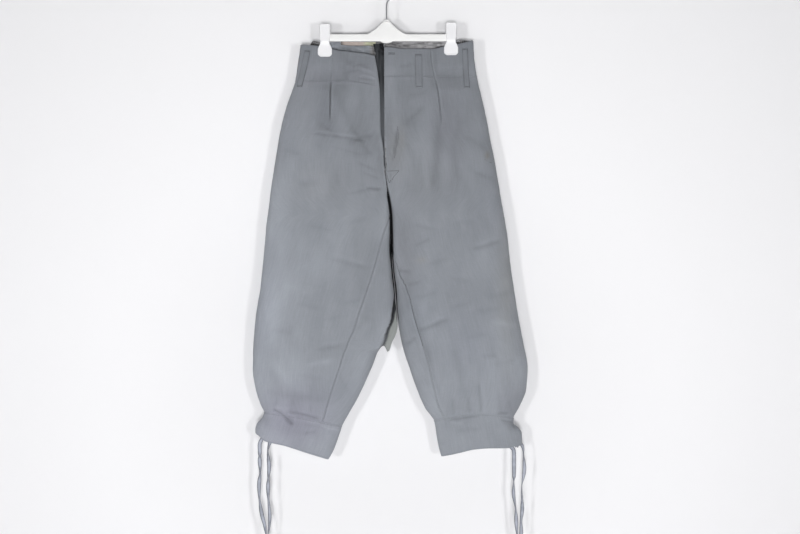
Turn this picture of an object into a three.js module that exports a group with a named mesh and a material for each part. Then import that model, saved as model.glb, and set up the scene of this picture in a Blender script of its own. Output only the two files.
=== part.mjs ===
// Military trousers with tie cuffs, hanging from a plastic clip hanger.
//
// Millimetres, +Z up. The origin is the inside crest of the hanger's hook, where a rail holds it.
// The wearer's front faces -Y, and the wearer's left is +X.
import * as THREE from 'three';

// ---------- Driving dimensions ----------
const WAIST_LEVEL = -140; // height of the waist's level line, under the hook's crest
const CLOTH = 1.6; // cloth wall
const SEAM_GAP = 0.3; // between two pieces at a seam
const LAYER_GAP = 0.8; // between a piece and what lies on it
const CROTCH_DROP = 400; // from the waist's level line to the crotch
const FLY_DROP = 306; // from the waist's level line to the foot of the fly
const FLY_FOOT = 290; // where the right front's free edge meets the centre seam again
const FIRST_LEVEL = 125; // station of the leg panels' first level row, under the waistband's seam
const TOP_DROP = -12; // highest station of the sections, just above the waist
const SIDE_SEAM_TURN = { right: -0.05, left: -0.05 }; // where the side seam lies round a section
const CUFF_TOP = { right: 853, left: 866 }; // station of the seam above each cuff
const CUFF_HEM = { right: 930, left: 933 }; // station of each cuff's hem
const CUFF_SLIT = { turn: -0.3, half: 0.008 }; // where each cuff closes at its back, in turns
const CENTRE_X = -5.7; // the fly and the centre back seam, with the garment hanging a little aside

const CLIP_X = { right: -141.5, left: 148.4 }; // centre of each clip
const CLIP_FOOT = { right: -176, left: -172.5 }; // lowest point of each clip's jaws
const PINCH_HALF = 2; // half thickness of the two waist layers in a clip
const PINCH_FLAT = { x: 25, drop: 58 }; // the two layers lie together this far from a clip's middle
const PINCH_FADE = { x: 36, drop: 60 }; // and part again over this much more
const SEAT_CROWN = 0.84; // a section's depth near its outer edge, against its fullest depth
const LEG_CROWN = 0.86;
const EDGE_REACH = { perDepth: 1.6, more: 10 }; // how far a section's rounded outer edge reaches
const FOLD_ROOM = { least: 4, full: 14 }; // folds fade out where a section is thinner than this
const FOLD_TAPER = { beyond: 0.15, over: 0.4 }; // shares of a fold's length over which it dies away

const COLOURS = {
  cloth: 0x82868c,
  facing: 0xa8988c,
  plastic: 0xf2f2f2,
  metal: 0x6f7378,
  button: 0x55524c,
};

// ---------- Sections ----------
// One row for each level. front and back are half depths, closing is 0 where a section is one half of
// the seat and 1 where it is a whole leg, and fork is how far a leg's rounded inner edge reaches.
const DEPTHS = [
  { station: TOP_DROP, front: 13, back: 13, closing: 0, fork: 24 },
  { station: 40, front: 15, back: 14, closing: 0, fork: 24 },
  { station: 92, front: 19, back: 18, closing: 0, fork: 24 },
  { station: 150, front: 23, back: 23, closing: 0, fork: 24 },
  { station: 210, front: 26, back: 28, closing: 0, fork: 24 },
  { station: 280, front: 29, back: 31, closing: 0, fork: 24 },
  { station: 320, front: 30, back: 32, closing: 0.05, fork: 24 },
  { station: 360, front: 30, back: 32, closing: 0.4, fork: 24 },
  { station: CROTCH_DROP, front: 30, back: 32, closing: 1, fork: 24 },
  { station: 510, front: 30, back: 31, closing: 1, fork: 26 },
  { station: 630, front: 31, back: 31, closing: 1, fork: 36 },
  { station: 750, front: 33, back: 33, closing: 1, fork: 50 },
  { station: 810, front: 31, back: 31, closing: 1, fork: 48 },
  { station: 840, front: 25, back: 25, closing: 1, fork: 42 },
  { station: 857, front: 19, back: 19, closing: 1, fork: 36 },
  { station: 870, front: 18, back: 18, closing: 1, fork: 34 },
  { station: 895, front: 20, back: 20, closing: 1, fork: 34 },
  { station: 935, front: 16, back: 16, closing: 1, fork: 32 },
];

// The outer and inner edge of each side's sections: x, and the drop under the waist's level line.
const EDGES = {
  right: [
    { station: TOP_DROP, outerX: -197.5, outerDrop: -12, innerX: -5.9, innerDrop: -12 },
    { station: 8, outerX: -198.8, outerDrop: 8, innerX: -5.9, innerDrop: 8 },
    { station: 40, outerX: -202.9, outerDrop: 40, innerX: -5.9, innerDrop: 40 },
    { station: 92, outerX: -211.1, outerDrop: 92, innerX: -5.9, innerDrop: 92 },
    { station: 150, outerX: -230.2, outerDrop: 150, innerX: -5.9, innerDrop: 150 },
    { station: 210, outerX: -244.7, outerDrop: 210, innerX: -5.9, innerDrop: 210 },
    { station: 280, outerX: -256, outerDrop: 280, innerX: -4, innerDrop: 280 },
    { station: 350, outerX: -266.1, outerDrop: 350, innerX: 3, innerDrop: 350 },
    { station: CROTCH_DROP, outerX: -272.1, outerDrop: 400, innerX: 8.6, innerDrop: 400 },
    { station: 450, outerX: -278.1, outerDrop: 450, innerX: 10.8, innerDrop: 450 },
    { station: 510, outerX: -284.5, outerDrop: 510, innerX: 13.2, innerDrop: 510 },
    { station: 570, outerX: -291.2, outerDrop: 570, innerX: 19, innerDrop: 570 },
    { station: 600, outerX: -296.5, outerDrop: 600, innerX: 21.5, innerDrop: 601 },
    { station: 630, outerX: -301.1, outerDrop: 630, innerX: 23.2, innerDrop: 632 },
    { station: 662, outerX: -304.4, outerDrop: 662, innerX: 22.4, innerDrop: 666 },
    { station: 684, outerX: -306, outerDrop: 684, innerX: 15, innerDrop: 690 },
    { station: 700, outerX: -306.8, outerDrop: 700, innerX: 2, innerDrop: 710 },
    { station: 714, outerX: -307.1, outerDrop: 714, innerX: -22, innerDrop: 724 },
    { station: 750, outerX: -307.2, outerDrop: 750, innerX: -40.7, innerDrop: 764 },
    { station: 800, outerX: -300, outerDrop: 800, innerX: -67.4, innerDrop: 822 },
    { station: 835, outerX: -289, outerDrop: 835, innerX: -90, innerDrop: 862 },
    { station: 853, outerX: -281.5, outerDrop: 853, innerX: -102.4, innerDrop: 884 },
    { station: 867, outerX: -287.5, outerDrop: 864, innerX: -106.5, innerDrop: 897 },
    { station: 885, outerX: -299.5, outerDrop: 882, innerX: -112, innerDrop: 912 },
    { station: 900, outerX: -301, outerDrop: 896, innerX: -116.5, innerDrop: 925 },
    { station: 915, outerX: -301, outerDrop: 908, innerX: -122.5, innerDrop: 939 },
    { station: 930, outerX: -298, outerDrop: 919, innerX: -134.5, innerDrop: 959 },
  ],
  left: [
    { station: TOP_DROP, outerX: 199.5, outerDrop: -12, innerX: -5.5, innerDrop: -12 },
    { station: 0, outerX: 200.5, outerDrop: 0, innerX: -5.5, innerDrop: 0 },
    { station: 40, outerX: 203, outerDrop: 40, innerX: -5.5, innerDrop: 40 },
    { station: 92, outerX: 211.4, outerDrop: 92, innerX: -5.5, innerDrop: 92 },
    { station: 150, outerX: 224.3, outerDrop: 150, innerX: -5.5, innerDrop: 150 },
    { station: 210, outerX: 236.4, outerDrop: 210, innerX: -5.5, innerDrop: 210 },
    { station: 280, outerX: 250, outerDrop: 280, innerX: -3.6, innerDrop: 280 },
    { station: 350, outerX: 260.6, outerDrop: 350, innerX: 3.4, innerDrop: 350 },
    { station: CROTCH_DROP, outerX: 270, outerDrop: 400, innerX: 9.2, innerDrop: 400 },
    { station: 450, outerX: 278.1, outerDrop: 450, innerX: 11.4, innerDrop: 450 },
    { station: 510, outerX: 284.3, outerDrop: 510, innerX: 13.8, innerDrop: 510 },
    { station: 570, outerX: 292.8, outerDrop: 570, innerX: 20, innerDrop: 570 },
    { station: 630, outerX: 302.5, outerDrop: 630, innerX: 24.6, innerDrop: 630 },
    { station: 690, outerX: 314.2, outerDrop: 690, innerX: 31.5, innerDrop: 690 },
    { station: 750, outerX: 323.2, outerDrop: 750, innerX: 52.5, innerDrop: 750 },
    { station: 800, outerX: 320.9, outerDrop: 800, innerX: 70.2, innerDrop: 800 },
    { station: 840, outerX: 305.7, outerDrop: 840, innerX: 89, innerDrop: 842 },
    { station: 866, outerX: 293.5, outerDrop: 866, innerX: 109, innerDrop: 871 },
    { station: 880, outerX: 297.5, outerDrop: 878, innerX: 113.5, innerDrop: 889 },
    { station: 892, outerX: 304, outerDrop: 888, innerX: 115.5, innerDrop: 905 },
    { station: 905, outerX: 311, outerDrop: 899, innerX: 118, innerDrop: 920 },
    { station: 920, outerX: 312.2, outerDrop: 912, innerX: 121.5, innerDrop: 936 },
    { station: 933, outerX: 311.4, outerDrop: 924, innerX: 126, innerDrop: 951.3 },
  ],
};

// How far the middle of a section, and its outer corner, rise above the straight line between its edges.
const BOWS = {
  right: [
    { station: 780, rise: 0, corner: 0 },
    { station: 853, rise: 4, corner: 0 },
    { station: 900, rise: 3, corner: 3 },
    { station: 930, rise: 3, corner: 12 },
  ],
  left: [
    { station: 780, rise: 0, corner: 0 },
    { station: 866, rise: 13, corner: 0 },
    { station: 933, rise: 5, corner: 0 },
  ],
};
const CORNER_REACH = 13;

// The inseam, as a share of the way across the leg from its outer edge.
const INSEAMS = {
  right: [
    { station: CROTCH_DROP, share: 1 },
    { station: 436, share: 0.951 },
    { station: 517, share: 0.866 },
    { station: 603, share: 0.76 },
    { station: 664, share: 0.699 },
    { station: 690, share: 0.69 },
    { station: 718, share: 0.735 },
    { station: 790, share: 0.736 },
    { station: 853, share: 0.757 },
  ],
  left: [
    { station: CROTCH_DROP, share: 1 },
    { station: 460, share: 0.995 },
    { station: 528, share: 0.954 },
    { station: 572, share: 0.9 },
    { station: 645, share: 0.853 },
    { station: 700, share: 0.828 },
    { station: 751, share: 0.835 },
    { station: 811, share: 0.851 },
    { station: 866, share: 0.875 },
  ],
};

// The waist's top edge: the front sags between the clips, and the back stands higher.
const FRONT_TOP = [
  { x: -199, drop: 8 },
  { x: -160, drop: 10.5 },
  { x: -118, drop: 20 },
  { x: -72, drop: 26 },
  { x: -30, drop: 30 },
  { x: -18, drop: 20 },
  { x: -5.7, drop: 10.6 },
  { x: 13, drop: 11 },
  { x: 31, drop: 16.5 },
  { x: 100, drop: 18.6 },
  { x: 130, drop: 13 },
  { x: 176, drop: 4 },
  { x: 200, drop: -2 },
];
const BACK_TOP = [
  { x: -199, drop: 8 },
  { x: -186, drop: 4 },
  { x: -172, drop: -2.5 },
  { x: -160, drop: -1 },
  { x: -152, drop: 1 },
  { x: -108, drop: 1 },
  { x: -88, drop: -3 },
  { x: 96, drop: -3 },
  { x: 114, drop: 1 },
  { x: 160, drop: 1 },
  { x: 172, drop: -3 },
  { x: 200, drop: -2 },
];
// The seam under the waistband, and the free edge of the right front behind the fly.
const FRONT_SEAM = [
  { x: -211, drop: 93 },
  { x: -90, drop: 94 },
  { x: -19, drop: 104 },
  { x: -5.8, drop: 100 },
  { x: -5.6, drop: 83 },
  { x: 211, drop: 83 },
];
const BACK_SEAM = [
  { x: -211, drop: 93 },
  { x: 0, drop: 89 },
  { x: 211, drop: 83 },
];
const FLY_OPENING = [
  { drop: -12, x: -31 },
  { drop: 30, x: -27 },
  { drop: 77, x: -19.6 },
  { drop: 119, x: -15 },
  { drop: 204, x: -13 },
  { drop: 252, x: -6.4 },
  { drop: 280, x: -4 },
];

// The largest folds: from one end to the other, half width, and height (below 0 is a trough).
const FRONT_FOLDS = [
  { x0: -121, drop0: 20, x1: -129, drop1: 181, width: 15, height: -3 },
  { x0: -123, drop0: 150, x1: -80, drop1: 250, width: 26, height: -2.5 },
  { x0: 100, drop0: 10, x1: 124, drop1: 190, width: 15, height: -3 },
  { x0: 122, drop0: 170, x1: 116, drop1: 360, width: 28, height: -3 },
  { x0: 42, drop0: 190, x1: 88, drop1: 150, width: 22, height: -2.5 },
  { x0: -158, drop0: 218, x1: -50, drop1: 230, width: 22, height: 2.5 },
  { x0: -125, drop0: 500, x1: -38, drop1: 522, width: 24, height: -3 },
  { x0: -158, drop0: 705, x1: -98, drop1: 695, width: 22, height: -3 },
  { x0: -270, drop0: 725, x1: -213, drop1: 786, width: 24, height: 4 },
  { x0: -263, drop0: 805, x1: -139, drop1: 818, width: 22, height: -4 },
  { x0: -68, drop0: 676, x1: -33, drop1: 637, width: 20, height: 3 },
  { x0: 197, drop0: 477, x1: 260, drop1: 460, width: 24, height: -3 },
  { x0: 72, drop0: 663, x1: 140, drop1: 638, width: 24, height: -3 },
  { x0: 41, drop0: 695, x1: 70, drop1: 677, width: 20, height: -3 },
  { x0: 214, drop0: 735, x1: 250, drop1: 722, width: 22, height: 3 },
  { x0: 158, drop0: 695, x1: 175, drop1: 804, width: 22, height: -3.5 },
  { x0: 210, drop0: 770, x1: 214, drop1: 850, width: 16, height: -4 },
  { x0: -260, drop0: 848, x1: -217, drop1: 876, width: 13, height: -3 },
];
const BACK_FOLDS = [
  { x0: -128, drop0: 5, x1: -122, drop1: 175, width: 15, height: -3 },
  { x0: 118, drop0: 8, x1: 112, drop1: 170, width: 15, height: -3 },
  { x0: -190, drop0: 300, x1: -40, drop1: 380, width: 30, height: -4 },
  { x0: 60, drop0: 385, x1: 205, drop1: 320, width: 28, height: -4 },
  { x0: -110, drop0: 420, x1: -140, drop1: 640, width: 32, height: 3 },
  { x0: 150, drop0: 430, x1: 170, drop1: 620, width: 30, height: 3 },
  { x0: -240, drop0: 690, x1: -150, drop1: 725, width: 24, height: -4 },
  { x0: 120, drop0: 715, x1: 240, drop1: 690, width: 24, height: -3.5 },
  { x0: -200, drop0: 770, x1: -205, drop1: 850, width: 18, height: -4 },
  { x0: 225, drop0: 775, x1: 218, drop1: 855, width: 18, height: -4 },
];

// Free routes of the ties under each hem: x, height, and the turn of the flat tape in degrees. share is
// how far across the cuff, from its outer edge, a tie is sewn inside it, and end is its loose end.
const TIES = {
  tie_right_outer: {
    side: 'right',
    share: 0.055,
    route: [
      { x: -292, z: -1066, turn: 5 },
      { x: -292, z: -1084, turn: 15 },
      { x: -292, z: -1094, turn: 65 },
      { x: -291.8, z: -1105, turn: 10 },
      { x: -290.5, z: -1132, turn: 75 },
      { x: -293, z: -1156, turn: 20 },
      { x: -292, z: -1195, turn: 75 },
      { x: -286.5, z: -1229, turn: 15 },
      { x: -280.5, z: -1252, turn: 45 },
      { x: -277, z: -1273, turn: 80 },
    ],
    end: { x: -288, z: -1322 },
  },
  tie_right_inner: {
    side: 'right',
    share: 0.17,
    route: [
      { x: -271.5, z: -1071, turn: 60 },
      { x: -273.7, z: -1084, turn: 80 },
      { x: -270.5, z: -1119, turn: 15 },
      { x: -272, z: -1145, turn: 70 },
      { x: -272.6, z: -1165, turn: 20 },
      { x: -271.4, z: -1195, turn: 70 },
      { x: -268.6, z: -1234, turn: 40 },
      { x: -269.3, z: -1252, turn: 60 },
      { x: -272, z: -1273, turn: 80 },
    ],
    end: { x: -264, z: -1330 },
  },
  tie_left_inner: {
    side: 'left',
    share: 0.125,
    route: [
      { x: 292.5, z: -1080, turn: 5 },
      { x: 293.7, z: -1114, turn: 5 },
      { x: 293.6, z: -1138, turn: 20 },
      { x: 293, z: -1153, turn: 75 },
      { x: 292.1, z: -1181, turn: 30 },
      { x: 296.7, z: -1213, turn: 70 },
      { x: 298.3, z: -1243, turn: 10 },
      { x: 300.4, z: -1273, turn: 60 },
      { x: 303.6, z: -1290, turn: 80 },
    ],
    end: { x: 297, z: -1338 },
  },
  tie_left_outer: {
    side: 'left',
    share: 0.05,
    route: [
      { x: 307, z: -1069.5, turn: -105 },
      { x: 312, z: -1070.2, turn: -95 },
      { x: 316.8, z: -1074, turn: -95 },
      { x: 315.1, z: -1091, turn: -105 },
      { x: 316.9, z: -1126, turn: -165 },
      { x: 311.2, z: -1163, turn: -105 },
      { x: 311.6, z: -1190, turn: -120 },
      { x: 312.1, z: -1218, turn: -165 },
      { x: 309.4, z: -1245, turn: -130 },
      { x: 309.8, z: -1270, turn: -165 },
      { x: 308.2, z: -1290, turn: -100 },
    ],
    end: { x: 318, z: -1346 },
  },
};
const TAPE_WIDTH = 9;
const TAPE_THICKNESS = 1.2;
const TAPE_STEPS = { tie: 24, end: 5 };
const SEAT_RISES = [22, 11, 0]; // heights above the hem of the places where a tie lies on its cuff
const CLEAR_OF_HEM = 3;
const STRAIGHT_AFTER = 5; // places of a route over which a tie comes back to the middle plane
const END_TURN = { from: 80, to: 30 };
const KNOTS = {
  knot_right: { x: -274.5, z: -1280.6 },
  knot_left: { x: 305.9, z: -1297.6 },
};
const KNOT_HALF = { width: 7, depth: 5, height: 7.5 };

// What lies under the waist's opening, and what is sewn on.
const UNDERLAP = { fromX: -38, toX: 22, top: 22, foot: FLY_DROP - 12 };
const FACING = { fromX: -98, toX: -24, top: 0, foot: 12, thickness: 1 };
const BUTTON = { x: 12, drop: 31, radius: 8, thickness: 2, rim: 0.92 };
const LOOP_THICKNESS = 2;
const BELT_LOOPS = [
  { at: 'side_right', side: 'right', isFront: true, topX: -184, footX: -195, top: 13, foot: 103, wide: 12 },
  { at: 'side_left', side: 'left', isFront: true, topX: 184, footX: 189, top: 13, foot: 107, wide: 14 },
  { at: 'front_left', side: 'left', isFront: true, topX: 72, footX: 73, top: 31, foot: 107, wide: 16 },
  { at: 'back', side: 'left', isFront: false, topX: 10, footX: 10, top: 12, foot: 104, wide: 14 },
];

// ---------- Hanger sizes ----------
const WIRE_RADIUS = 1.6;
const HOOK_RADIUS = 22; // to the middle of the wire
const SHANK_FOOT = -90.6;
const COLLAR = { radius: 8, top: -91, foot: -95.7 };
const BAR = { fromX: -150, toX: 157, top: -124, foot: -138, half: 3.5 };
const BELL = { half: 45, topHalf: 8, top: -96 };
const CRESCENT = { half: 14, foot: -147 };
const JAW_WALL = 2.6;
// A clip's outline, from its top down: height above its foot, half width, and its inner face's distance
// from the middle plane.
const CLIP_OUTLINE = [
  { above: 75, half: 10, inner: 4 },
  { above: 72, half: 12, inner: 4 },
  { above: 54, half: 12, inner: 4 },
  { above: 41, half: 12, inner: 4 },
  { above: 36, half: 10.5, inner: 4 },
  { above: 31, half: 10.8, inner: 3.2 },
  { above: 24, half: 14, inner: 2.5 },
  { above: 16, half: 16.4, inner: 2.4 },
  { above: 7, half: 16.4, inner: 2.4 },
  { above: 3, half: 14.5, inner: 2.4 },
  { above: 0, half: 10, inner: 2.4 },
];

// ---------- Helpers ----------
const { abs, acos, cos, exp, hypot, max, min, sin, sqrt, PI } = Math;
const clamp = (value, low, high) => min(max(value, low), high);
const mix = (a, b, share) => a + (b - a) * share;
const smooth = (value) => {
  const share = clamp(value, 0, 1);
  return share * share * (3 - 2 * share);
};

// Reads one column of a table at a place, along a smooth curve that never overshoots its rows.
function readTable(rows, key, column, place) {
  const last = rows.length - 1;
  if (place <= rows[0][key]) return rows[0][column];
  if (place >= rows[last][key]) return rows[last][column];
  let row = 0;
  while (place > rows[row + 1][key]) row += 1;
  const rise = (i) => (rows[i + 1][column] - rows[i][column]) / (rows[i + 1][key] - rows[i][key]);
  const slope = (i) => {
    if (i === 0) return rise(0);
    if (i === last) return rise(last - 1);
    const before = rise(i - 1);
    const after = rise(i);
    return before * after <= 0 ? 0 : (2 * before * after) / (before + after);
  };
  const span = rows[row + 1][key] - rows[row][key];
  const t = (place - rows[row][key]) / span;
  const a = rows[row][column];
  const b = rows[row + 1][column];
  const startPull = slope(row) * span;
  const endPull = slope(row + 1) * span;
  return (
    a * (1 + 2 * t) * (1 - t) * (1 - t) + startPull * t * (1 - t) * (1 - t)
    + b * t * t * (3 - 2 * t) - endPull * t * t * (1 - t)
  );
}

// ---------- The cloth's surface ----------
const roundedEdge = (distance, reach) => {
  const share = clamp(1 - distance / reach, 0, 1);
  return sqrt(1 - share * share);
};

function foldHeight(folds, x, drop) {
  let height = 0;
  for (const fold of folds) {
    const alongX = fold.x1 - fold.x0;
    const alongDrop = fold.drop1 - fold.drop0;
    const length = hypot(alongX, alongDrop);
    const along = ((x - fold.x0) * alongX + (drop - fold.drop0) * alongDrop) / (length * length);
    const across = ((x - fold.x0) * alongDrop - (drop - fold.drop0) * alongX) / length;
    const { beyond, over } = FOLD_TAPER;
    const taper = smooth((along + beyond) / over) * smooth((1 + beyond - along) / over);
    height += fold.height * taper * exp(-((across / fold.width) ** 2));
  }
  return height;
}

// How firmly the clips hold the two waist layers together at a place, from 0 to 1.
function clipPinch(x, drop) {
  let pinch = 0;
  for (const side of ['right', 'left']) {
    const beside = smooth(1 - (abs(x - CLIP_X[side]) - PINCH_FLAT.x) / PINCH_FADE.x);
    const below = smooth(1 - (drop - PINCH_FLAT.drop) / PINCH_FADE.drop);
    pinch = max(pinch, beside * below);
  }
  return pinch;
}

// A place on the cloth's outer face. turn goes round a side's section: 0 is the outer edge, 1 is the
// inner edge over the front and -1 is the inner edge over the back.
function clothPoint(side, turn, station) {
  const unwrapped = turn < -1 ? turn + 2 : turn > 1 ? turn - 2 : turn;
  const isFront = unwrapped >= 0;
  const away = abs(unwrapped);
  const edge = (column) => readTable(EDGES[side], 'station', column, station);
  const level = (column) => readTable(DEPTHS, 'station', column, station);
  const outerX = edge('outerX');
  const innerX = edge('innerX');
  const closing = level('closing');
  const depth = level(isFront ? 'front' : 'back');
  const reach = EDGE_REACH.perDepth * depth + EDGE_REACH.more;
  const across = mix(1 - cos((away * PI) / 2), (1 - cos(away * PI)) / 2, closing);
  const x = mix(outerX, innerX, across);
  const bow = (column) => readTable(BOWS[side], 'station', column, station);
  const fromOuter = abs(x - outerX);
  const lifted = bow('rise') * sin(across * PI) + bow('corner') * exp(-((fromOuter / CORNER_REACH) ** 2));
  const drop = mix(edge('outerDrop'), edge('innerDrop'), across) - lifted;
  const seatCrown = mix(SEAT_CROWN, 1, sin((across * PI) / 2));
  const legCrown = mix(LEG_CROWN, 1, sin(across * PI));
  const fromInner = abs(innerX - x);
  const seat = roundedEdge(fromOuter, reach) * seatCrown;
  const leg = roundedEdge(fromOuter, reach) * roundedEdge(fromInner, level('fork')) * legCrown;
  let half = depth * mix(seat, leg, closing);
  half = mix(half, min(half, PINCH_HALF), clipPinch(x, drop));
  const folds = foldHeight(isFront ? FRONT_FOLDS : BACK_FOLDS, x, drop);
  half += folds * smooth((half - FOLD_ROOM.least) / FOLD_ROOM.full);
  return new THREE.Vector3(x, isFront ? -half : half, WAIST_LEVEL - drop);
}

function clothNormal(side, turn, station) {
  const step = 0.004;
  const rise = 1.5;
  const round = clothPoint(side, turn + step, station).sub(clothPoint(side, turn - step, station));
  const down = clothPoint(side, turn, station + rise).sub(clothPoint(side, turn, station - rise));
  const normal = round.cross(down).normalize();
  return side === 'right' ? normal.negate() : normal;
}

// The turn at which a side's seat section reaches a given x.
function turnAtX(side, station, x) {
  const outerX = readTable(EDGES[side], 'station', 'outerX', station);
  const innerX = readTable(EDGES[side], 'station', 'innerX', station);
  const across = clamp((x - outerX) / (innerX - outerX), 0, 1);
  return (acos(1 - across) * 2) / PI;
}

function inseamTurn(side, station) {
  if (station <= CROTCH_DROP) return 1;
  return acos(1 - 2 * readTable(INSEAMS[side], 'station', 'share', station)) / PI;
}

// ---------- Solids ----------
const group = new THREE.Group();

function addMesh(name, geometry, colour, roughness = 0.9, metalness = 0) {
  const material = new THREE.MeshStandardMaterial({ color: colour, roughness, metalness });
  const mesh = new THREE.Mesh(geometry, material);
  mesh.name = name;
  group.add(mesh);
  return mesh;
}

function signedVolume(points, triangles) {
  let volume = 0;
  for (let i = 0; i < triangles.length; i += 3) {
    const [a, b, c] = [0, 1, 2].map((corner) => points[triangles[i + corner]]);
    volume += a.dot(b.clone().cross(c)) / 6;
  }
  return volume;
}

function solidFrom(points, triangles) {
  const facingOut = signedVolume(points, triangles) > 0;
  const ordered = facingOut ? triangles : triangles.slice().reverse();
  const geometry = new THREE.BufferGeometry().setFromPoints(points);
  geometry.setIndex(ordered);
  geometry.computeVertexNormals();
  return geometry;
}

// Pulls a grid's four edges in by half a seam's gap.
function openSeams(grid) {
  const rows = grid.length;
  const columns = grid[0].length;
  const pull = (from, towards) => {
    const way = towards.clone().sub(from);
    return from.clone().addScaledVector(way, SEAM_GAP / 2 / way.length());
  };
  const pulled = grid.map((row) => row.map((point) => point.clone()));
  for (let i = 0; i < rows; i += 1) {
    pulled[i][0] = pull(pulled[i][0], grid[i][1]);
    pulled[i][columns - 1] = pull(pulled[i][columns - 1], grid[i][columns - 2]);
  }
  for (let j = 0; j < columns; j += 1) {
    pulled[0][j] = pull(pulled[0][j], pulled[1][j]);
    pulled[rows - 1][j] = pull(pulled[rows - 1][j], pulled[rows - 2][j]);
  }
  return pulled;
}

// A wall of cloth over a grid of places: its far face is lift + thickness from the surface, along the
// surface's normals, and its near face is lift from it. lift may change across the grid's columns.
function clothWall(grid, normals, thickness, lift) {
  const rows = grid.length;
  const columns = grid[0].length;
  const open = openSeams(grid);
  const points = [];
  for (const extra of [thickness, 0]) {
    for (let i = 0; i < rows; i += 1) {
      for (let j = 0; j < columns; j += 1) {
        const distance = lift(j / (columns - 1)) + extra;
        points.push(open[i][j].clone().addScaledVector(normals[i][j], distance));
      }
    }
  }
  const far = (i, j) => i * columns + j;
  const near = (i, j) => rows * columns + i * columns + j;
  const triangles = [];
  const quad = (a, b, c, d) => triangles.push(a, b, c, a, c, d);
  for (let i = 0; i < rows - 1; i += 1) {
    for (let j = 0; j < columns - 1; j += 1) {
      quad(far(i, j), far(i, j + 1), far(i + 1, j + 1), far(i + 1, j));
      quad(near(i, j), near(i + 1, j), near(i + 1, j + 1), near(i, j + 1));
    }
  }
  for (let i = 0; i < rows - 1; i += 1) {
    quad(far(i, 0), far(i + 1, 0), near(i + 1, 0), near(i, 0));
    quad(far(i + 1, columns - 1), far(i, columns - 1), near(i, columns - 1), near(i + 1, columns - 1));
  }
  for (let j = 0; j < columns - 1; j += 1) {
    quad(far(0, j + 1), far(0, j), near(0, j), near(0, j + 1));
    quad(far(rows - 1, j), far(rows - 1, j + 1), near(rows - 1, j + 1), near(rows - 1, j));
  }
  return solidFrom(points, triangles);
}

// A piece of one side's cloth between two edges round the section and two edges down the garment. With
// levelFrom, its rows from the second on are level ones, so that its neighbour's rows can match them.
function clothPatch({ side, fromTurn, toTurn, top, foot, rows, columns, levelFrom = 0 }) {
  const waist = 40; // a station in the waistband, where a column's rough x is read
  const firstRow = (x) => levelFrom || mix(top(x), foot(x), 1 / (rows - 1));
  const grid = [];
  const normals = [];
  for (let i = 0; i < rows; i += 1) {
    const gridRow = [];
    const normalRow = [];
    for (let j = 0; j < columns; j += 1) {
      const round = j / (columns - 1);
      const guess = clothPoint(side, mix(fromTurn(waist), toTurn(waist), round), waist).x;
      const station = i === 0 ? top(guess) : mix(firstRow(guess), foot(guess), (i - 1) / (rows - 2));
      const turn = mix(fromTurn(station), toTurn(station), round);
      gridRow.push(clothPoint(side, turn, station));
      normalRow.push(clothNormal(side, turn, station));
    }
    grid.push(gridRow);
    normals.push(normalRow);
  }
  return clothWall(grid, normals, CLOTH, () => -CLOTH);
}

// ---------- Trouser pieces ----------
const sideSeam = (side) => () => SIDE_SEAM_TURN[side];
const frontTop = (x) => readTable(FRONT_TOP, 'x', 'drop', x);
const backTop = (x) => readTable(BACK_TOP, 'x', 'drop', x);
const frontSeam = (x) => readTable(FRONT_SEAM, 'x', 'drop', x);
const backSeam = (x) => readTable(BACK_SEAM, 'x', 'drop', x);
const centreBack = () => -1;
const rightFlyEdge = (station) => (
  station < FLY_FOOT ? turnAtX('right', station, readTable(FLY_OPENING, 'drop', 'x', station)) : 1
);
const frontInner = {
  right: (station) => (station > CROTCH_DROP ? inseamTurn('right', station) : rightFlyEdge(station)),
  left: (station) => inseamTurn('left', station),
};
const backInner = (side) => (station) => inseamTurn(side, station) - 2;

function makePanels(side) {
  const foot = () => CUFF_TOP[side];
  addMesh(`front_${side}`, clothPatch({
    side,
    fromTurn: sideSeam(side),
    toTurn: frontInner[side],
    top: frontSeam,
    foot,
    rows: 23,
    columns: 12,
    levelFrom: FIRST_LEVEL,
  }), COLOURS.cloth);
  addMesh(`back_${side}`, clothPatch({
    side,
    fromTurn: backInner(side),
    toTurn: sideSeam(side),
    top: backSeam,
    foot,
    rows: 23,
    columns: 14,
    levelFrom: FIRST_LEVEL,
  }), COLOURS.cloth);
}

function makeWaistband(side) {
  addMesh(`waistband_front_${side}`, clothPatch({
    side,
    fromTurn: sideSeam(side),
    toTurn: frontInner[side],
    top: frontTop,
    foot: (x) => frontSeam(x) - SEAM_GAP,
    rows: 5,
    columns: 18,
  }), COLOURS.cloth);
  addMesh(`waistband_back_${side}`, clothPatch({
    side,
    fromTurn: centreBack,
    toTurn: sideSeam(side),
    top: backTop,
    foot: (x) => backSeam(x) - SEAM_GAP,
    rows: 5,
    columns: 18,
  }), COLOURS.cloth);
}

function makeCuff(side) {
  addMesh(`cuff_${side}`, clothPatch({
    side,
    fromTurn: () => CUFF_SLIT.turn - 2 + CUFF_SLIT.half,
    toTurn: () => CUFF_SLIT.turn - CUFF_SLIT.half,
    top: () => CUFF_TOP[side] + SEAM_GAP,
    foot: () => CUFF_HEM[side],
    rows: 5,
    columns: 25,
  }), COLOURS.cloth);
}

for (const side of ['right', 'left']) {
  makeWaistband(side);
  makePanels(side);
  makeCuff(side);
}

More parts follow.
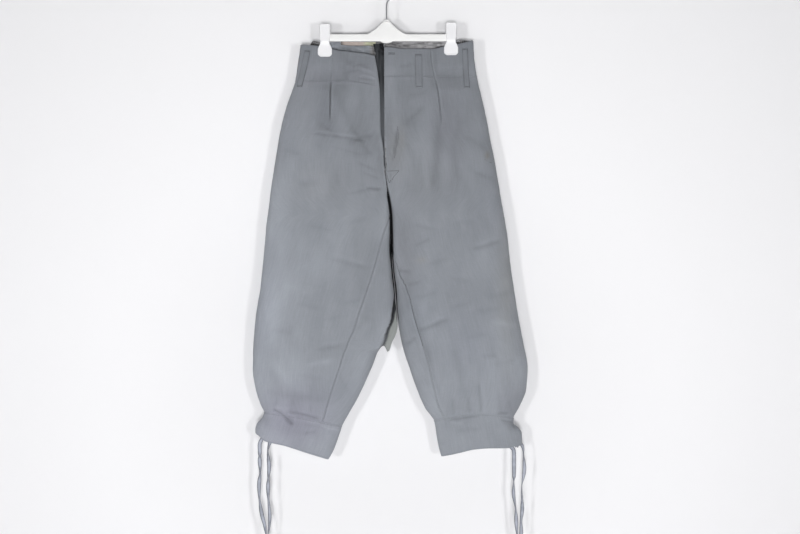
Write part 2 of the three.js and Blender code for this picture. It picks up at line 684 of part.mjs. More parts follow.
// A flat strip over the front or back, given by x and drop, moved out from the cloth (or in, below 0).
function surfaceStrip({ side, isFront, xAt, top, foot, rows, columns, thickness, lift }) {
  const grid = [];
  const normals = [];
  for (let i = 0; i < rows; i += 1) {
    const drop = mix(top, foot, i / (rows - 1));
    const gridRow = [];
    const normalRow = [];
    for (let j = 0; j < columns; j += 1) {
      const x = xAt(j / (columns - 1), i / (rows - 1));
      const crossing = x < CENTRE_X ? 'right' : 'left';
      const here = side === 'both' ? crossing : side;
      const turn = turnAtX(here, drop, x) * (isFront ? 1 : -1);
      const point = clothPoint(here, turn, drop);
      gridRow.push(new THREE.Vector3(x, point.y, WAIST_LEVEL - drop));
      const inside = clamp(abs(turn), 0.05, 0.96) * (isFront ? 1 : -1);
      normalRow.push(clothNormal(here, inside, drop));
    }
    grid.push(gridRow);
    normals.push(normalRow);
  }
  return clothWall(grid, normals, thickness, lift);
}

function makeFlyUnderlap() {
  const sewnLift = -2 * CLOTH - LAYER_GAP;
  const freeLift = -2 * CLOTH - BUTTON.thickness - 2 * LAYER_GAP;
  addMesh('fly_underlap', surfaceStrip({
    side: 'both',
    isFront: true,
    xAt: (share) => mix(UNDERLAP.fromX, UNDERLAP.toX, share),
    top: UNDERLAP.top,
    foot: UNDERLAP.foot,
    rows: 10,
    columns: 6,
    thickness: CLOTH,
    lift: (share) => mix(sewnLift, freeLift, smooth(share / 0.5)),
  }), COLOURS.cloth);
}

function makeWaistButton() {
  const { radius, thickness, rim } = BUTTON;
  const profile = [
    new THREE.Vector2(0, -thickness / 2),
    new THREE.Vector2(radius * rim, -thickness / 2),
    new THREE.Vector2(radius, 0),
    new THREE.Vector2(radius * rim, thickness / 2),
    new THREE.Vector2(0, thickness / 2),
  ];
  const turn = turnAtX('left', BUTTON.drop, BUTTON.x);
  const normal = clothNormal('left', turn, BUTTON.drop);
  const button = addMesh('waist_button', new THREE.LatheGeometry(profile, 16), COLOURS.button, 0.5);
  button.position.copy(clothPoint('left', turn, BUTTON.drop));
  button.position.addScaledVector(normal, -CLOTH - LAYER_GAP - thickness / 2);
  button.quaternion.setFromUnitVectors(new THREE.Vector3(0, 1, 0), normal);
}

function makeBeltLoop({ at, side, isFront, topX, footX, top, foot, wide }) {
  addMesh(`belt_loop_${at}`, surfaceStrip({
    side,
    isFront,
    xAt: (share, down) => mix(topX, footX, down) + (share - 0.5) * wide,
    top,
    foot,
    rows: 5,
    columns: 4,
    thickness: LOOP_THICKNESS,
    lift: () => LAYER_GAP,
  }), COLOURS.cloth);
}

function makeWaistFacing() {
  addMesh('waist_facing', surfaceStrip({
    side: 'right',
    isFront: false,
    xAt: (share) => mix(FACING.fromX, FACING.toX, share),
    top: FACING.top,
    foot: FACING.foot,
    rows: 3,
    columns: 7,
    thickness: FACING.thickness,
    lift: () => -CLOTH - 1.7 * LAYER_GAP - FACING.thickness,
  }), COLOURS.facing);
}

// ---------- Ties ----------
// A flat tape along a list of places, each with the turn of its width about the upright. Its two wide
// faces are split along the same diagonals, so that they stay apart where the tape twists.
function tape(places, steps) {
  const route = new THREE.CatmullRomCurve3(places.map(({ point }) => point), false, 'centripetal');
  const turnAt = (share) => {
    const place = share * (places.length - 1);
    const index = min(Math.floor(place), places.length - 2);
    return mix(places[index].turn, places[index + 1].turn, smooth(place - index)) * (PI / 180);
  };
  const half = TAPE_WIDTH / 2;
  const slim = TAPE_THICKNESS / 2;
  const outline = [
    [-half, -slim / 2], [-half * 0.9, -slim], [half * 0.9, -slim], [half, -slim / 2],
    [half, slim / 2], [half * 0.9, slim], [-half * 0.9, slim], [-half, slim / 2],
  ];
  const sides = outline.length;
  const points = [];
  const triangles = [];
  for (let step = 0; step <= steps; step += 1) {
    const share = step / steps;
    const middle = route.getPoint(share);
    const along = route.getTangent(share);
    const level = new THREE.Vector3(cos(turnAt(share)), sin(turnAt(share)), 0);
    const through = along.clone().cross(level).normalize();
    const wide = through.clone().cross(along).normalize();
    for (const [across, deep] of outline) {
      points.push(middle.clone().addScaledVector(wide, across).addScaledVector(through, deep));
    }
  }
  for (let step = 0; step < steps; step += 1) {
    for (let side = 0; side < sides; side += 1) {
      const a = step * sides + side;
      const b = step * sides + ((side + 1) % sides);
      const quad = side < sides / 2
        ? [a, b, b + sides, a, b + sides, a + sides]
        : [a, b, a + sides, b, b + sides, a + sides];
      triangles.push(...quad);
    }
  }
  const lastRing = steps * sides;
  for (let side = 1; side < sides - 1; side += 1) {
    triangles.push(0, side + 1, side);
    triangles.push(lastRing, lastRing + side, lastRing + side + 1);
  }
  return solidFrom(points, triangles);
}

// Where a tie is sewn inside the back of its cuff, above the hem.
function tieSeat(side, share, aboveHem) {
  const turn = -acos(1 - 2 * share) / PI;
  const station = CUFF_HEM[side] - aboveHem;
  const inset = CLOTH + 3 * LAYER_GAP + TAPE_THICKNESS / 2;
  const normal = clothNormal(side, turn, station);
  const flat = (Math.atan2(normal.y, normal.x) * 180) / PI - 90;
  return { point: clothPoint(side, turn, station).addScaledVector(normal, -inset), turn: flat };
}

function makeTie(name) {
  const { side, share, route, end } = TIES[name];
  const seat = SEAT_RISES.map((aboveHem) => tieSeat(side, share, aboveHem));
  seat[2].point.z -= CLEAR_OF_HEM;
  const seatDepth = seat[2].point.y;
  const free = route.map(({ x, z, turn }, index) => ({
    point: new THREE.Vector3(x, seatDepth * max(0, 1 - (index + 1) / STRAIGHT_AFTER), z),
    turn,
  }));
  addMesh(name, tape([...seat, ...free], TAPE_STEPS.tie), COLOURS.cloth);
  const knot = KNOTS[`knot_${side}`];
  const outwards = side === 'right' ? -1 : 1;
  const away = name.endsWith('outer') ? outwards : -outwards;
  const startX = knot.x + away * KNOT_HALF.width * 0.45;
  const start = knot.z - KNOT_HALF.height * 0.89 - LAYER_GAP;
  const loose = [0, 0.5, 1].map((down) => ({
    point: new THREE.Vector3(mix(startX, end.x, down * down), away * 1.5, mix(start, end.z, down)),
    turn: mix(END_TURN.from, END_TURN.to, down),
  }));
  addMesh(`${name}_end`, tape(loose, TAPE_STEPS.end), COLOURS.cloth);
}

function makeKnot(name) {
  const knot = addMesh(name, new THREE.SphereGeometry(1, 12, 8), COLOURS.cloth);
  knot.scale.set(KNOT_HALF.width, KNOT_HALF.depth, KNOT_HALF.height);
  knot.position.set(KNOTS[name].x, 0, KNOTS[name].z);
}

// ---------- Hanger ----------
function makeHook() {
  const middle = WIRE_RADIUS - HOOK_RADIUS;
  const onLoop = (degrees) => new THREE.Vector3(
    HOOK_RADIUS * cos((degrees * PI) / 180),
    0,
    middle + HOOK_RADIUS * sin((degrees * PI) / 180),
  );
  const shank = [[0, SHANK_FOOT], [0, -74], [0, -60], [1.6, -50.5], [6.6, -43.5]];
  const path = [
    ...shank.map(([x, z]) => new THREE.Vector3(x, 0, z)),
    ...[-50, -25, 0, 30, 60, 90, 120, 150, 180, 198].map(onLoop),
  ];
  const wire = new THREE.Shape().absarc(0, 0, WIRE_RADIUS, 0, 2 * PI);
  const curve = new THREE.CatmullRomCurve3(path, false, 'centripetal');
  addMesh('hanger_hook', new THREE.ExtrudeGeometry(wire, {
    steps: 56,
    curveSegments: 4,
    bevelEnabled: false,
    extrudePath: curve,
  }), COLOURS.metal, 0.35, 0.9);
}

function makeCollar() {
  const { radius, top, foot } = COLLAR;
  const profile = [
    new THREE.Vector2(0, foot),
    new THREE.Vector2(radius, foot),
    new THREE.Vector2(radius, mix(foot, top, 0.6)),
    new THREE.Vector2(radius * 0.7, top),
    new THREE.Vector2(0, top),
  ];
  const collar = addMesh('hanger_collar', new THREE.LatheGeometry(profile, 20), COLOURS.plastic, 0.4);
  collar.rotation.x = PI / 2;
}

// The moulded bar: a flat rail with a bell under the hook and a shallow crescent below it.
function makeBar() {
  const outline = new THREE.Shape();
  outline.moveTo(BAR.fromX, BAR.foot);
  outline.lineTo(-CRESCENT.half, BAR.foot);
  outline.quadraticCurveTo(0, 2 * CRESCENT.foot - BAR.foot, CRESCENT.half, BAR.foot);
  outline.lineTo(BAR.toX, BAR.foot);
  outline.lineTo(BAR.toX, BAR.top);
  outline.lineTo(BELL.half, BAR.top);
  outline.bezierCurveTo(BELL.half * 0.6, BAR.top + 7, BELL.topHalf * 2, BELL.top - 7, BELL.topHalf, BELL.top);
  outline.lineTo(-BELL.topHalf, BELL.top);
  outline.bezierCurveTo(-BELL.topHalf * 2, BELL.top - 7, -BELL.half * 0.6, BAR.top + 7, -BELL.half, BAR.top);
  outline.lineTo(BAR.fromX, BAR.top);
  const geometry = new THREE.ExtrudeGeometry(outline, {
    depth: 2 * BAR.half,
    curveSegments: 10,
    bevelEnabled: false,
  });
  const bar = addMesh('hanger_bar', geometry, COLOURS.plastic, 0.4);
  bar.rotation.x = PI / 2;
  bar.position.y = BAR.half;
}

function makeClipJaw(side, face) {
  const towards = face === 'front' ? -1 : 1;
  const spread = [-1, -0.5, 0, 0.5, 1];
  const normal = new THREE.Vector3(0, towards, 0);
  const grid = CLIP_OUTLINE.map(({ above, half, inner }) => spread.map((share) => (
    new THREE.Vector3(CLIP_X[side] + share * half, towards * inner, CLIP_FOOT[side] + above)
  )));
  const normals = grid.map((row) => row.map(() => normal));
  addMesh(`clip_${side}_${face}`, clothWall(grid, normals, JAW_WALL, () => 0), COLOURS.plastic, 0.4);
}

makeFlyUnderlap();
makeWaistButton();
BELT_LOOPS.forEach(makeBeltLoop);
makeWaistFacing();
Object.keys(TIES).forEach(makeTie);
Object.keys(KNOTS).forEach(makeKnot);
makeHook();
makeCollar();
makeBar();
for (const side of ['right', 'left']) {
  makeClipJaw(side, 'front');
  makeClipJaw(side, 'back');
}

export default group;
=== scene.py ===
"""Military trousers with tie cuffs, hanging from a clip hanger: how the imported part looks.

Tables and shapes are in millimetres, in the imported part's frame, and go to metres when a mesh is made.
right and left are the wearer's. A station is a level down the cloth, and drop is a height under the waist.
"""
import math

import bpy
import numpy as np
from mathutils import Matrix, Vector
from mathutils.bvhtree import BVHTree


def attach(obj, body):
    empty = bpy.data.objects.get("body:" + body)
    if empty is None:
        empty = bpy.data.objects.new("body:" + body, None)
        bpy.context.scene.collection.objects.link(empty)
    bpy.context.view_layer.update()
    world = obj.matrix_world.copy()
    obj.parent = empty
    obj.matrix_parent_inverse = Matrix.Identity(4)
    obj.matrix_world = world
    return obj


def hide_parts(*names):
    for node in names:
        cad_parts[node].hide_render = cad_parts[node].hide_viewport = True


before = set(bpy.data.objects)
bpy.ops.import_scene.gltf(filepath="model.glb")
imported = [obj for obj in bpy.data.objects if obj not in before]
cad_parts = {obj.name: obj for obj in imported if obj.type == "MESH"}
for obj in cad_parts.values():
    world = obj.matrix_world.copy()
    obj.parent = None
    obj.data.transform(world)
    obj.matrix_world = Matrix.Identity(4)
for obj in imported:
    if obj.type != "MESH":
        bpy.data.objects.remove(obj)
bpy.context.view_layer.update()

MM = 0.001

# ---------- Driving sizes, as the part's source has them ----------
WAIST_LEVEL = -140
CENTRE_X = -5.7
CROTCH = 400
FLY_FOOT = 290
SEAM_TURN = -0.05
CUFF_TOP = {"right": 853, "left": 866}
CUFF_HEM = {"right": 930, "left": 933}
CUFF_SLIT = {"turn": -0.3, "half": 0.006}
CLIP_X = {"right": -141.5, "left": 148.4}
CLIP_FOOT = {"right": -176, "left": -172.5}
PINCH_HALF = 2
PINCH_FLAT = {"x": 25, "drop": 58}
PINCH_FADE = {"x": 36, "drop": 60}
CORNER_REACH = 13
SIDES = ("right", "left")


def table(columns, *rows):
    """A table as a dict of arrays, one for each named column."""
    return dict(zip(columns.split(), np.array(rows, float).T))


# How deep the garment is in front of and behind its middle plane; how far the inner edges are closed, from 0
# in the seat to 1 in the legs; and how far in a leg's inner edge rounds off.
DEPTHS = table(
    "station front back closing fork",
    (-12, 13, 13, 0, 12), (40, 15, 14, 0, 12), (92, 19, 18, 0, 12), (150, 23, 23, 0, 12),
    (210, 26, 28, 0, 12), (280, 29, 31, 0, 12), (320, 30, 32, 0.05, 12), (360, 30, 32, 0.4, 12),
    (CROTCH, 30, 32, 1, 12), (510, 30, 31, 1, 12), (630, 31, 31, 1, 20), (750, 33, 33, 1, 44),
    (810, 31, 31, 1, 46), (840, 25, 25, 1, 42), (857, 19, 19, 1, 36), (870, 18, 18, 1, 34),
    (895, 20, 20, 1, 34), (935, 16, 16, 1, 32),
)
# Where each side's outer and inner edges run.
EDGES = {
    "right": table(
        "station outerX outerDrop innerX innerDrop",
        (-12, -196, -12, -5, -12), (8, -197.2, 8, -5, 8), (40, -201.3, 40, -5, 40),
        (92, -209.2, 92, -5, 92), (150, -228.8, 150, -5, 150), (210, -244, 210, -5, 210),
        (280, -256, 280, -3, 280), (350, -266.1, 350, 4, 350), (CROTCH, -272.1, 400, 9.6, 400),
        (450, -278.1, 450, 10.8, 450), (510, -284.5, 510, 13.2, 510), (570, -291.2, 570, 19, 570),
        (600, -296.5, 600, 21.5, 601), (630, -301.1, 630, 23.8, 632), (650, -303.2, 650, 25.2, 653),
        (662, -304.4, 662, 23.6, 666), (672, -305.2, 672, 19.5, 677),
        (684, -306, 684, 12.8, 690), (700, -306.8, 700, 4, 705.5), (704, -306.9, 704, -5, 707),
        (708, -307, 708, -15, 708.5), (714, -307.1, 714, -20.5, 714), (730, -307.2, 730, -30, 739),
        (750, -307.2, 750, -40.7, 764), (800, -300, 800, -67.4, 822), (835, -289, 835, -90, 862),
        (853, -281.5, 853, -102.4, 884), (867, -284.5, 864, -106.5, 897), (885, -298, 882, -112, 912),
        (900, -301, 896, -116.5, 925), (915, -301, 908, -122.5, 939), (930, -298, 919, -134.5, 959),
    ),
    "left": table(
        "station outerX outerDrop innerX innerDrop",
        (-12, 198, -12, -5.5, -12), (0, 198.8, 0, -5.5, 0), (40, 201.2, 40, -5.5, 40),
        (92, 209.4, 92, -5.5, 92), (150, 222.6, 150, -5.5, 150), (210, 235.2, 210, -5.5, 210),
        (280, 249, 280, -3.6, 280), (350, 260.6, 350, 3.4, 350), (CROTCH, 270, 400, 9.2, 400),
        (450, 278.1, 450, 11.4, 450), (510, 284.3, 510, 13.8, 510), (570, 292.8, 570, 20, 570),
        (630, 302.5, 630, 25, 630), (690, 314.2, 690, 33.8, 690), (750, 323.2, 750, 53.3, 750),
        (800, 320.9, 800, 70.2, 800), (840, 305.7, 840, 89, 842), (866, 292.3, 866, 109, 871),
        (880, 292.6, 878, 113.5, 889), (892, 303, 888, 115.5, 905), (905, 311, 899, 118, 920),
        (920, 312.2, 912, 121.5, 936), (933, 311.4, 924, 126, 951.3),
    ),
}
# How much higher a section runs at its middle, and at its outer corner, than straight between its edges.
BOWS = {
    "right": table("station rise corner", (780, 0, 0), (853, 4, 0), (900, 3, 3), (930, 3, 12)),
    "left": table("station rise corner", (780, 0, 0), (866, 13, 0), (933, 5, 0)),
}
# How much lower each leg's hem hangs at each x than a straight one, and how far up the sag is felt.
HEM_REACH = 34
HEM_SAG = {
    "right": table(
        "x lower", (-298, -2.8), (-282, -3.8), (-238, -3.9), (-212, -2), (-186, -0.2), (-150, 1), (-134, 2.4),
    ),
    "left": table(
        "x lower", (120, 3.2), (165, 2.8), (195, 1.4), (225, 3), (262, 6.6), (279, 7.6), (296, 4.8), (312, 5),
    ),
}
# How far across the front each inseam lies, as a share from the outer edge to the inner edge.
INSEAMS = {
    "right": table(
        "station share",
        (CROTCH, 1), (436, 0.951), (517, 0.866), (603, 0.76), (664, 0.699), (690, 0.69), (700, 0.694),
        (704, 0.713), (708, 0.731), (718, 0.738), (790, 0.736), (853, 0.757),
    ),
    "left": table(
        "station share",
        (CROTCH, 1), (460, 0.995), (528, 0.954), (572, 0.9), (645, 0.853), (700, 0.828), (751, 0.835),
        (811, 0.851), (866, 0.875),
    ),
}
# The waist's top edges, the seams under its bands, and the fly's open edge.
FRONT_TOP = table(
    "x drop",
    (-199, 8), (-160, 10.5), (-118, 20), (-72, 27.5), (-48, 30), (-27, 35), (-18, 26), (-5.7, 15.2),
    (13, 16), (31, 19), (100, 19), (130, 13), (176, 4), (200, -2),
)
BACK_TOP = table(
    "x drop",
    (-199, 9), (-181, 8.5), (-173, -1.5), (-160, 0.8), (-152, 1.5), (-108, 1.5), (-88, -1), (96, -1),
    (114, 1.5), (160, 1.3), (172, -3), (200, -2),
)
FRONT_SEAM = table("x drop", (-211, 93), (-90, 94), (-19, 104), (-5.8, 100), (-5.6, 83), (211, 83))
BACK_SEAM = table("x drop", (-211, 93), (0, 89), (211, 83))
FLY_OPENING = table(
    "drop x", (-12, -31), (30, -27), (77, -19.6), (119, -15), (204, -13), (252, -6.4), (280, -4)
)

# The right leg's front ends here between the legs, and its back shows beyond: a place at each drop.
TUCK = table(
    "drop x", (560, 17), (600, 15.5), (622, 12), (641, 8.3), (664, -1.4), (689, -8), (712, -19), (735, -30.5),
    (764, -44),
)
# The dark band along the tuck's line at each drop: painted shadow where the right leg's front ends between
# the legs.
TUCK_PAINTED_SHADOW = table("drop shade", (575, 0.10), (630, 0.16), (665, 0.30), (690, 0.42), (720, 0.7))
# The right leg's back ends in a point between the legs: it hangs lower here, and is drawn up beside it.
TIP = table("x drop wide tall lower", (4, 707, 5, 12, 8.3), (-8, 704, 6, 19, -13))
# Half the width of the painted shadow in the gap between the legs, where they press together.
SHADED_GAP = table(
    "drop half", (318, 0), (340, 1.2), (362, 3.6), (480, 4.2), (514, 2.8), (560, 2.6), (600, 1.8), (640, 1),
)

# Every fold runs from one place to another, with a half width and a height (below 0 is a trough).
FOLD = "x0 drop0 x1 drop1 width height"
# Wide folds, on the front (True) and the back.
WIDE_FOLDS = {
    True: table(
        FOLD,
        (-121, 20, -129, 181, 15, -3), (-123, 150, -80, 250, 26, -2.5), (100, 10, 124, 190, 15, -3),
        (122, 170, 116, 360, 28, -3), (42, 190, 88, 150, 18, -1.2), (-158, 218, -50, 230, 22, 2.5),
        (-125, 500, -38, 522, 20, -1.6), (-158, 705, -98, 695, 18, -1.5), (-270, 725, -213, 786, 22, 2),
        (-263, 805, -139, 818, 16, -2), (-68, 676, -33, 637, 18, 1.8), (197, 477, 260, 460, 18, -1.5),
        (72, 663, 140, 638, 16, -1.6), (41, 695, 70, 677, 16, -1.5), (214, 735, 250, 722, 22, 3),
        (158, 695, 175, 804, 18, -1.8), (210, 770, 214, 850, 14, -2.2), (-260, 848, -217, 876, 13, -3),
    ),
    False: table(
        FOLD,
        (-128, 5, -122, 175, 15, -3), (118, 8, 112, 170, 15, -3), (-190, 300, -40, 380, 30, -4),
        (60, 385, 205, 320, 28, -4), (-110, 420, -140, 640, 32, 3), (150, 430, 170, 620, 30, 3),
        (-240, 690, -150, 725, 24, -4), (120, 715, 240, 690, 24, -3.5), (-200, 770, -205, 850, 18, -4),
        (225, 775, 218, 855, 18, -4),
    ),
}
# Narrow folds and worn lines, on the front (True) and the back.
CREASES = {
    True: table(
        FOLD,
        (-122, 104, -84, 190, 11, -1.1), (-168, 213, -98, 222, 2.6, -1.1), (-102, 222, -46, 232, 2.5, -1.2),
        (-158, 209, -60, 220, 5, 0.5), (-44, 339, -12, 341, 3, -1.9), (-70, 262, -30, 256, 5, -0.5),
        (-90, 236, -28, 214, 6, -1), (-126, 499, -38, 521, 6, -0.9), (-120, 490, -44, 510, 6, 0.4),
        (-158, 706, -97, 695, 5, -0.9), (-150, 697, -92, 686, 6, 0.4), (-268, 722, -214, 786, 13, 0.7),
        (-262, 752, -238, 800, 8, -0.6), (-263, 803, -140, 819, 9, -0.9), (-66, 676, -34, 638, 8, 0.8),
        (-250, 420, -205, 432, 8, -0.4), (-242, 560, -160, 575, 9, 0.5), (-100, 600, -52, 592, 6, -0.5),
        (-200, 330, -150, 322, 9, -0.8), (-225, 640, -215, 700, 9, -0.4), (-180, 740, -120, 728, 7, 1.1),
        (42, 193, 88, 147, 6, -0.9), (30, 527, 57, 529, 3.5, -1.1), (34, 519, 30, 530, 3, -1),
        (197, 477, 260, 459, 5, -1.3), (205, 468, 258, 452, 6, 0.4), (71, 664, 140, 637, 5, -1.6),
        (75, 656, 130, 632, 6, 0.4), (41, 696, 70, 677, 4.5, -1.0), (214, 720, 250, 718, 4.5, -0.8),
        (157, 694, 176, 806, 8, -0.9), (170, 700, 186, 800, 10, 0.5), (209, 782, 217, 853, 3.2, -1.5),
        (218, 780, 226, 850, 5, 0.6), (118, 182, 112, 345, 11, -1.3), (134, 190, 132, 330, 12, 0.6),
        (150, 420, 205, 412, 8, -0.5), (60, 590, 118, 574, 6, -0.6), (228, 590, 290, 575, 7, -0.6),
        (240, 640, 300, 652, 8, 0.9), (26, 203, 15, 274, 1.8, -3), (18, 116, 17, 183, 1.6, 0.7),
        (10, 318, 27, 303, 3, 1.1), (9, 305, 12, 330, 2.5, -1.2), (-70, 58, -30, 74, 5, 0.9),
        (-90, 52, -44, 58, 8, -1), (-56, 78, -26, 88, 3.5, 0.9), (-62, 86, -30, 92, 3, -0.8),
        (-258, 846, -240, 856, 3, -2.6), (-243, 854, -215, 878, 2.8, -3.6), (-236, 846, -205, 866, 5, 1.8),
        (-234, 851, -199, 854, 3.2, -1.8), (-202, 854, -154, 866, 3.2, -2.6), (-195, 866, -110, 888, 5, 0.9),
        (-190, 898, -158, 892, 3.5, -1), (-262, 838, -210, 842, 5, 0.8), (-150, 880, -104, 894, 3, 0.9),
        (-196, 878, -130, 884, 6, -0.6), (287, 870, 295, 890, 3.4, -1.1), (262, 868, 290, 874, 3, -1.1),
        (160, 892, 215, 886, 6, -0.8), (145, 872, 175, 876, 4, 0.8),
        (138, 868, 212, 858, 2.4, -1.8), (254, 853, 281, 853, 2.8, -1.8), (250, 859, 282, 859, 3, 0.7),
        (-86, 190, -36, 262, 5, -0.8), (-150, 190, -100, 226, 5, -0.7), (-118, 244, -60, 262, 4, -0.25),
        (-64, 280, -22, 300, 4, -0.8), (-52, 302, -16, 318, 3, -0.7), (-90, 352, -40, 340, 4, -0.6),
        (-98, 60, -60, 50, 4, 0.6), (-100, 74, -58, 66, 4, -0.6), (30, 60, 62, 52, 5, -0.5),
        (132, 54, 170, 62, 5, -0.6), (140, 70, 176, 66, 4, 0.5), (50, 128, 96, 116, 5, -0.5),
        (44, 226, 70, 300, 6, -0.7), (84, 250, 96, 350, 7, 0.6), (150, 240, 166, 330, 8, -0.7),
        (180, 220, 232, 250, 7, -0.6), (200, 300, 246, 318, 6, -0.6), (-238, 250, -196, 262, 6, -0.6),
        (-180, 420, -120, 436, 5, -0.5), (-92, 420, -44, 408, 5, -0.5), (60, 420, 110, 432, 5, -0.6),
        (66, 470, 100, 452, 4, -0.8), (96, 512, 140, 498, 5, -0.6), (46, 560, 84, 548, 4, -0.8),
        (140, 540, 190, 552, 6, -0.6), (200, 620, 262, 612, 6, -0.6), (150, 610, 196, 596, 5, -0.5),
        (180, 680, 232, 668, 5, -0.5), (-206, 600, -150, 612, 6, -0.5), (-260, 660, -214, 668, 6, -0.5),
        (-140, 640, -96, 628, 5, -0.5), (-200, 760, -150, 772, 6, -0.5), (-112, 760, -84, 806, 4, -0.6),
        (240, 740, 300, 728, 6, -0.5), (254, 800, 262, 852, 3.5, -1), (186, 812, 190, 856, 3.5, -0.9),
        (150, 820, 154, 862, 4, -0.7), (-250, 812, -256, 848, 4, -0.9), (-214, 818, -220, 850, 4, -0.8),
        (-170, 824, -172, 852, 4, -0.6), (280, 820, 286, 850, 3.5, -0.8),
        (36, 545, 80, 678, 4.5, -1.1), (82, 680, 127, 828, 5, -1.1), (60, 600, 104, 740, 9, -0.8),
    ),
    False: table(
        FOLD,
        (-108, 14, -80, 19, 5, 1.6), (-72, 12, -50, 20, 4, -1.8), (-46, 6, -30, 26, 6, -2),
        (24, 4, 60, 12, 5, 1.5), (66, 10, 96, 6, 5, -1.6), (98, 0, 104, 20, 3, -2), (116, 2, 128, 18, 4, 1.4),
        (-190, 300, -60, 372, 9, -1.7), (-182, 290, -60, 356, 10, 1.2), (62, 384, 200, 322, 8, -1.6),
        (70, 370, 196, 308, 9, 1.1), (-150, 232, -60, 246, 6, -1.2), (40, 250, 130, 236, 6, -1.2),
        (-60, 392, -22, 412, 5, -2), (24, 392, 66, 414, 5, -2), (-240, 452, -176, 462, 7, -1.4),
        (180, 470, 246, 456, 7, -1.4), (-232, 520, -150, 548, 8, 1), (150, 560, 232, 536, 8, 1.1),
        (-130, 500, -132, 640, 12, 1.4), (160, 480, 172, 640, 12, 1.4), (-236, 690, -152, 724, 6, -2),
        (-230, 680, -150, 712, 7, 1.2), (124, 714, 238, 690, 6, -1.9), (128, 704, 232, 680, 7, 1.1),
        (-80, 660, -40, 632, 6, -1.5), (60, 640, 96, 668, 6, -1.4), (-202, 776, -205, 850, 4.5, -2.3),
        (-160, 790, -154, 850, 5, -1.6), (-246, 800, -250, 846, 4, -1.4), (226, 780, 218, 858, 4.5, -2.2),
        (170, 800, 176, 860, 5, -1.7), (270, 800, 262, 852, 4, -1.3), (-110, 40, -70, 52, 6, -0.9),
        (50, 56, 90, 46, 6, -0.9), (-220, 884, -170, 892, 5, -0.9), (190, 892, 250, 884, 5, -0.9),
    ),
}
# Pressed lines where cloth was taken in, on the front (True) and the back: x and depth at each drop.
DARTS = {
    (True, "right"): table(
        "drop x depth", (8, -124, 0.6), (20, -124, 1.2), (46, -123.3, 2.4), (62, -125.2, 2.3),
        (89, -127.5, 2), (96, -127.6, 4), (160, -128.6, 3.8), (186, -129, 0),
    ),
    (True, "left"): table(
        "drop x depth", (8, 101.2, 0.6), (34, 102.3, 1.7), (66, 107, 2), (98, 113.8, 2.6),
        (126, 118.5, 2.6), (181, 124.2, 1.2), (200, 125, 0),
    ),
    (False, "right"): table(
        "drop x depth", (8, -128, 0.8), (80, -125.5, 0.9), (96, -125, 2.6), (150, -123, 2.4), (180, -122, 0),
    ),
    (False, "left"): table(
        "drop x depth", (8, 118, 0.8), (80, 115.5, 0.9), (96, 115, 2.6), (150, 113, 2.4), (180, 112, 0),
    ),
}
DART_WIDTH = 1.25
# Beside a pressed line the cloth rises a little: how far away, how wide, and its share of the line's depth.
DART_RIDGE = {"place": 4, "width": 3.5, "share": 0.28}
RELIEF_GAIN = 1.35
# How much of the cloth's relief is left flat under a clip.
PINCH_CALM = 0.85
# The unevenness of washed cloth, from wide to fine: height, cell width and height, slant, and seed.
RIPPLES = table(
    "tall across down slant seed",
    (0.95, 52, 84, 0, 0), (0.42, 21, 47, 0.005, 40), (0.16, 7.5, 17, 0, 80), (0.07, 3.2, 6, 0, 120),
)

# A section's shape: its least share of the full depth at the seat and in a leg, and how its outer edge
# rounds off, as a share of the depth and so much more.
SEAT_LEAST, LEG_LEAST = 0.84, 0.86
OUTER_ROUND, OUTER_ROUND_MORE = 1.6, 10
# Wide folds start where a section's half depth passes the first of these, and are full that much further on.
FOLD_FROM, FOLD_OVER = 4, 14
# Where the right leg's front ends between the legs, it lies this thin, from this drop on.
TUCK_HALF, TUCK_SOFT, TUCK_TOP, TUCK_TOP_SOFT = 1.5, 4, 585, 25


# ---------- The cloth's surface ----------
def smooth(value):
    share = np.clip(value, 0, 1)
    return share * share * (3 - 2 * share)


def rising(value, start, over):
    """0 up to start, and then up to 1 over a distance."""
    return smooth((value - start) / over)


def falling(value, end, over):
    """1 up to a distance before the end, and then down to 0 at it."""
    return smooth((end - value) / over)


def bump(distance, width):
    """1 at no distance, and away to 0 with a soft bell shape on both its sides."""
    return np.exp(-((distance / width) ** 2))


def mix(a, b, share):
    return a + (b - a) * share


def read(rows, key, column, place):
    """One column of a table at many places, along a smooth curve that never overshoots its rows."""
    xs, ys = rows[key], rows[column]
    place = np.clip(np.asarray(place, float), xs[0], xs[-1])
    gaps = np.diff(xs)
    rises = np.diff(ys) / gaps
    before, after = rises[:-1], rises[1:]
    turning = before * after <= 0
    inner = np.where(turning, 0, 2 * before * after / np.where(turning, 1, before + after))
    slopes = np.concatenate([rises[:1], inner, rises[-1:]])
    row = np.clip(np.searchsorted(xs, place, side="right") - 1, 0, len(xs) - 2)
    t = (place - xs[row]) / gaps[row]
    start, end = slopes[row] * gaps[row], slopes[row + 1] * gaps[row]
    return (
        ys[row] * (1 + 2 * t) * (1 - t) ** 2 + start * t * (1 - t) ** 2
        + ys[row + 1] * t * t * (3 - 2 * t) - end * t * t * (1 - t)
    )


def noise(across, down, seed):
    """Smooth noise from -1 to 1, with cells one unit across."""
    lattice = np.random.default_rng(seed).uniform(-1, 1, (97, 101))
    column, row = np.floor(across).astype(int), np.floor(down).astype(int)
    u, v = smooth(across - column), smooth(down - row)

    def corner(right, below):
        return lattice[(column + right) % 97, (row + below) % 101]

    return mix(mix(corner(0, 0), corner(1, 0), u), mix(corner(0, 1), corner(1, 1), u), v)


# A fold fades out over a share of its length, and ends a little past its two places.
FOLD_PAST, FOLD_TAPER = 0.15, 0.4


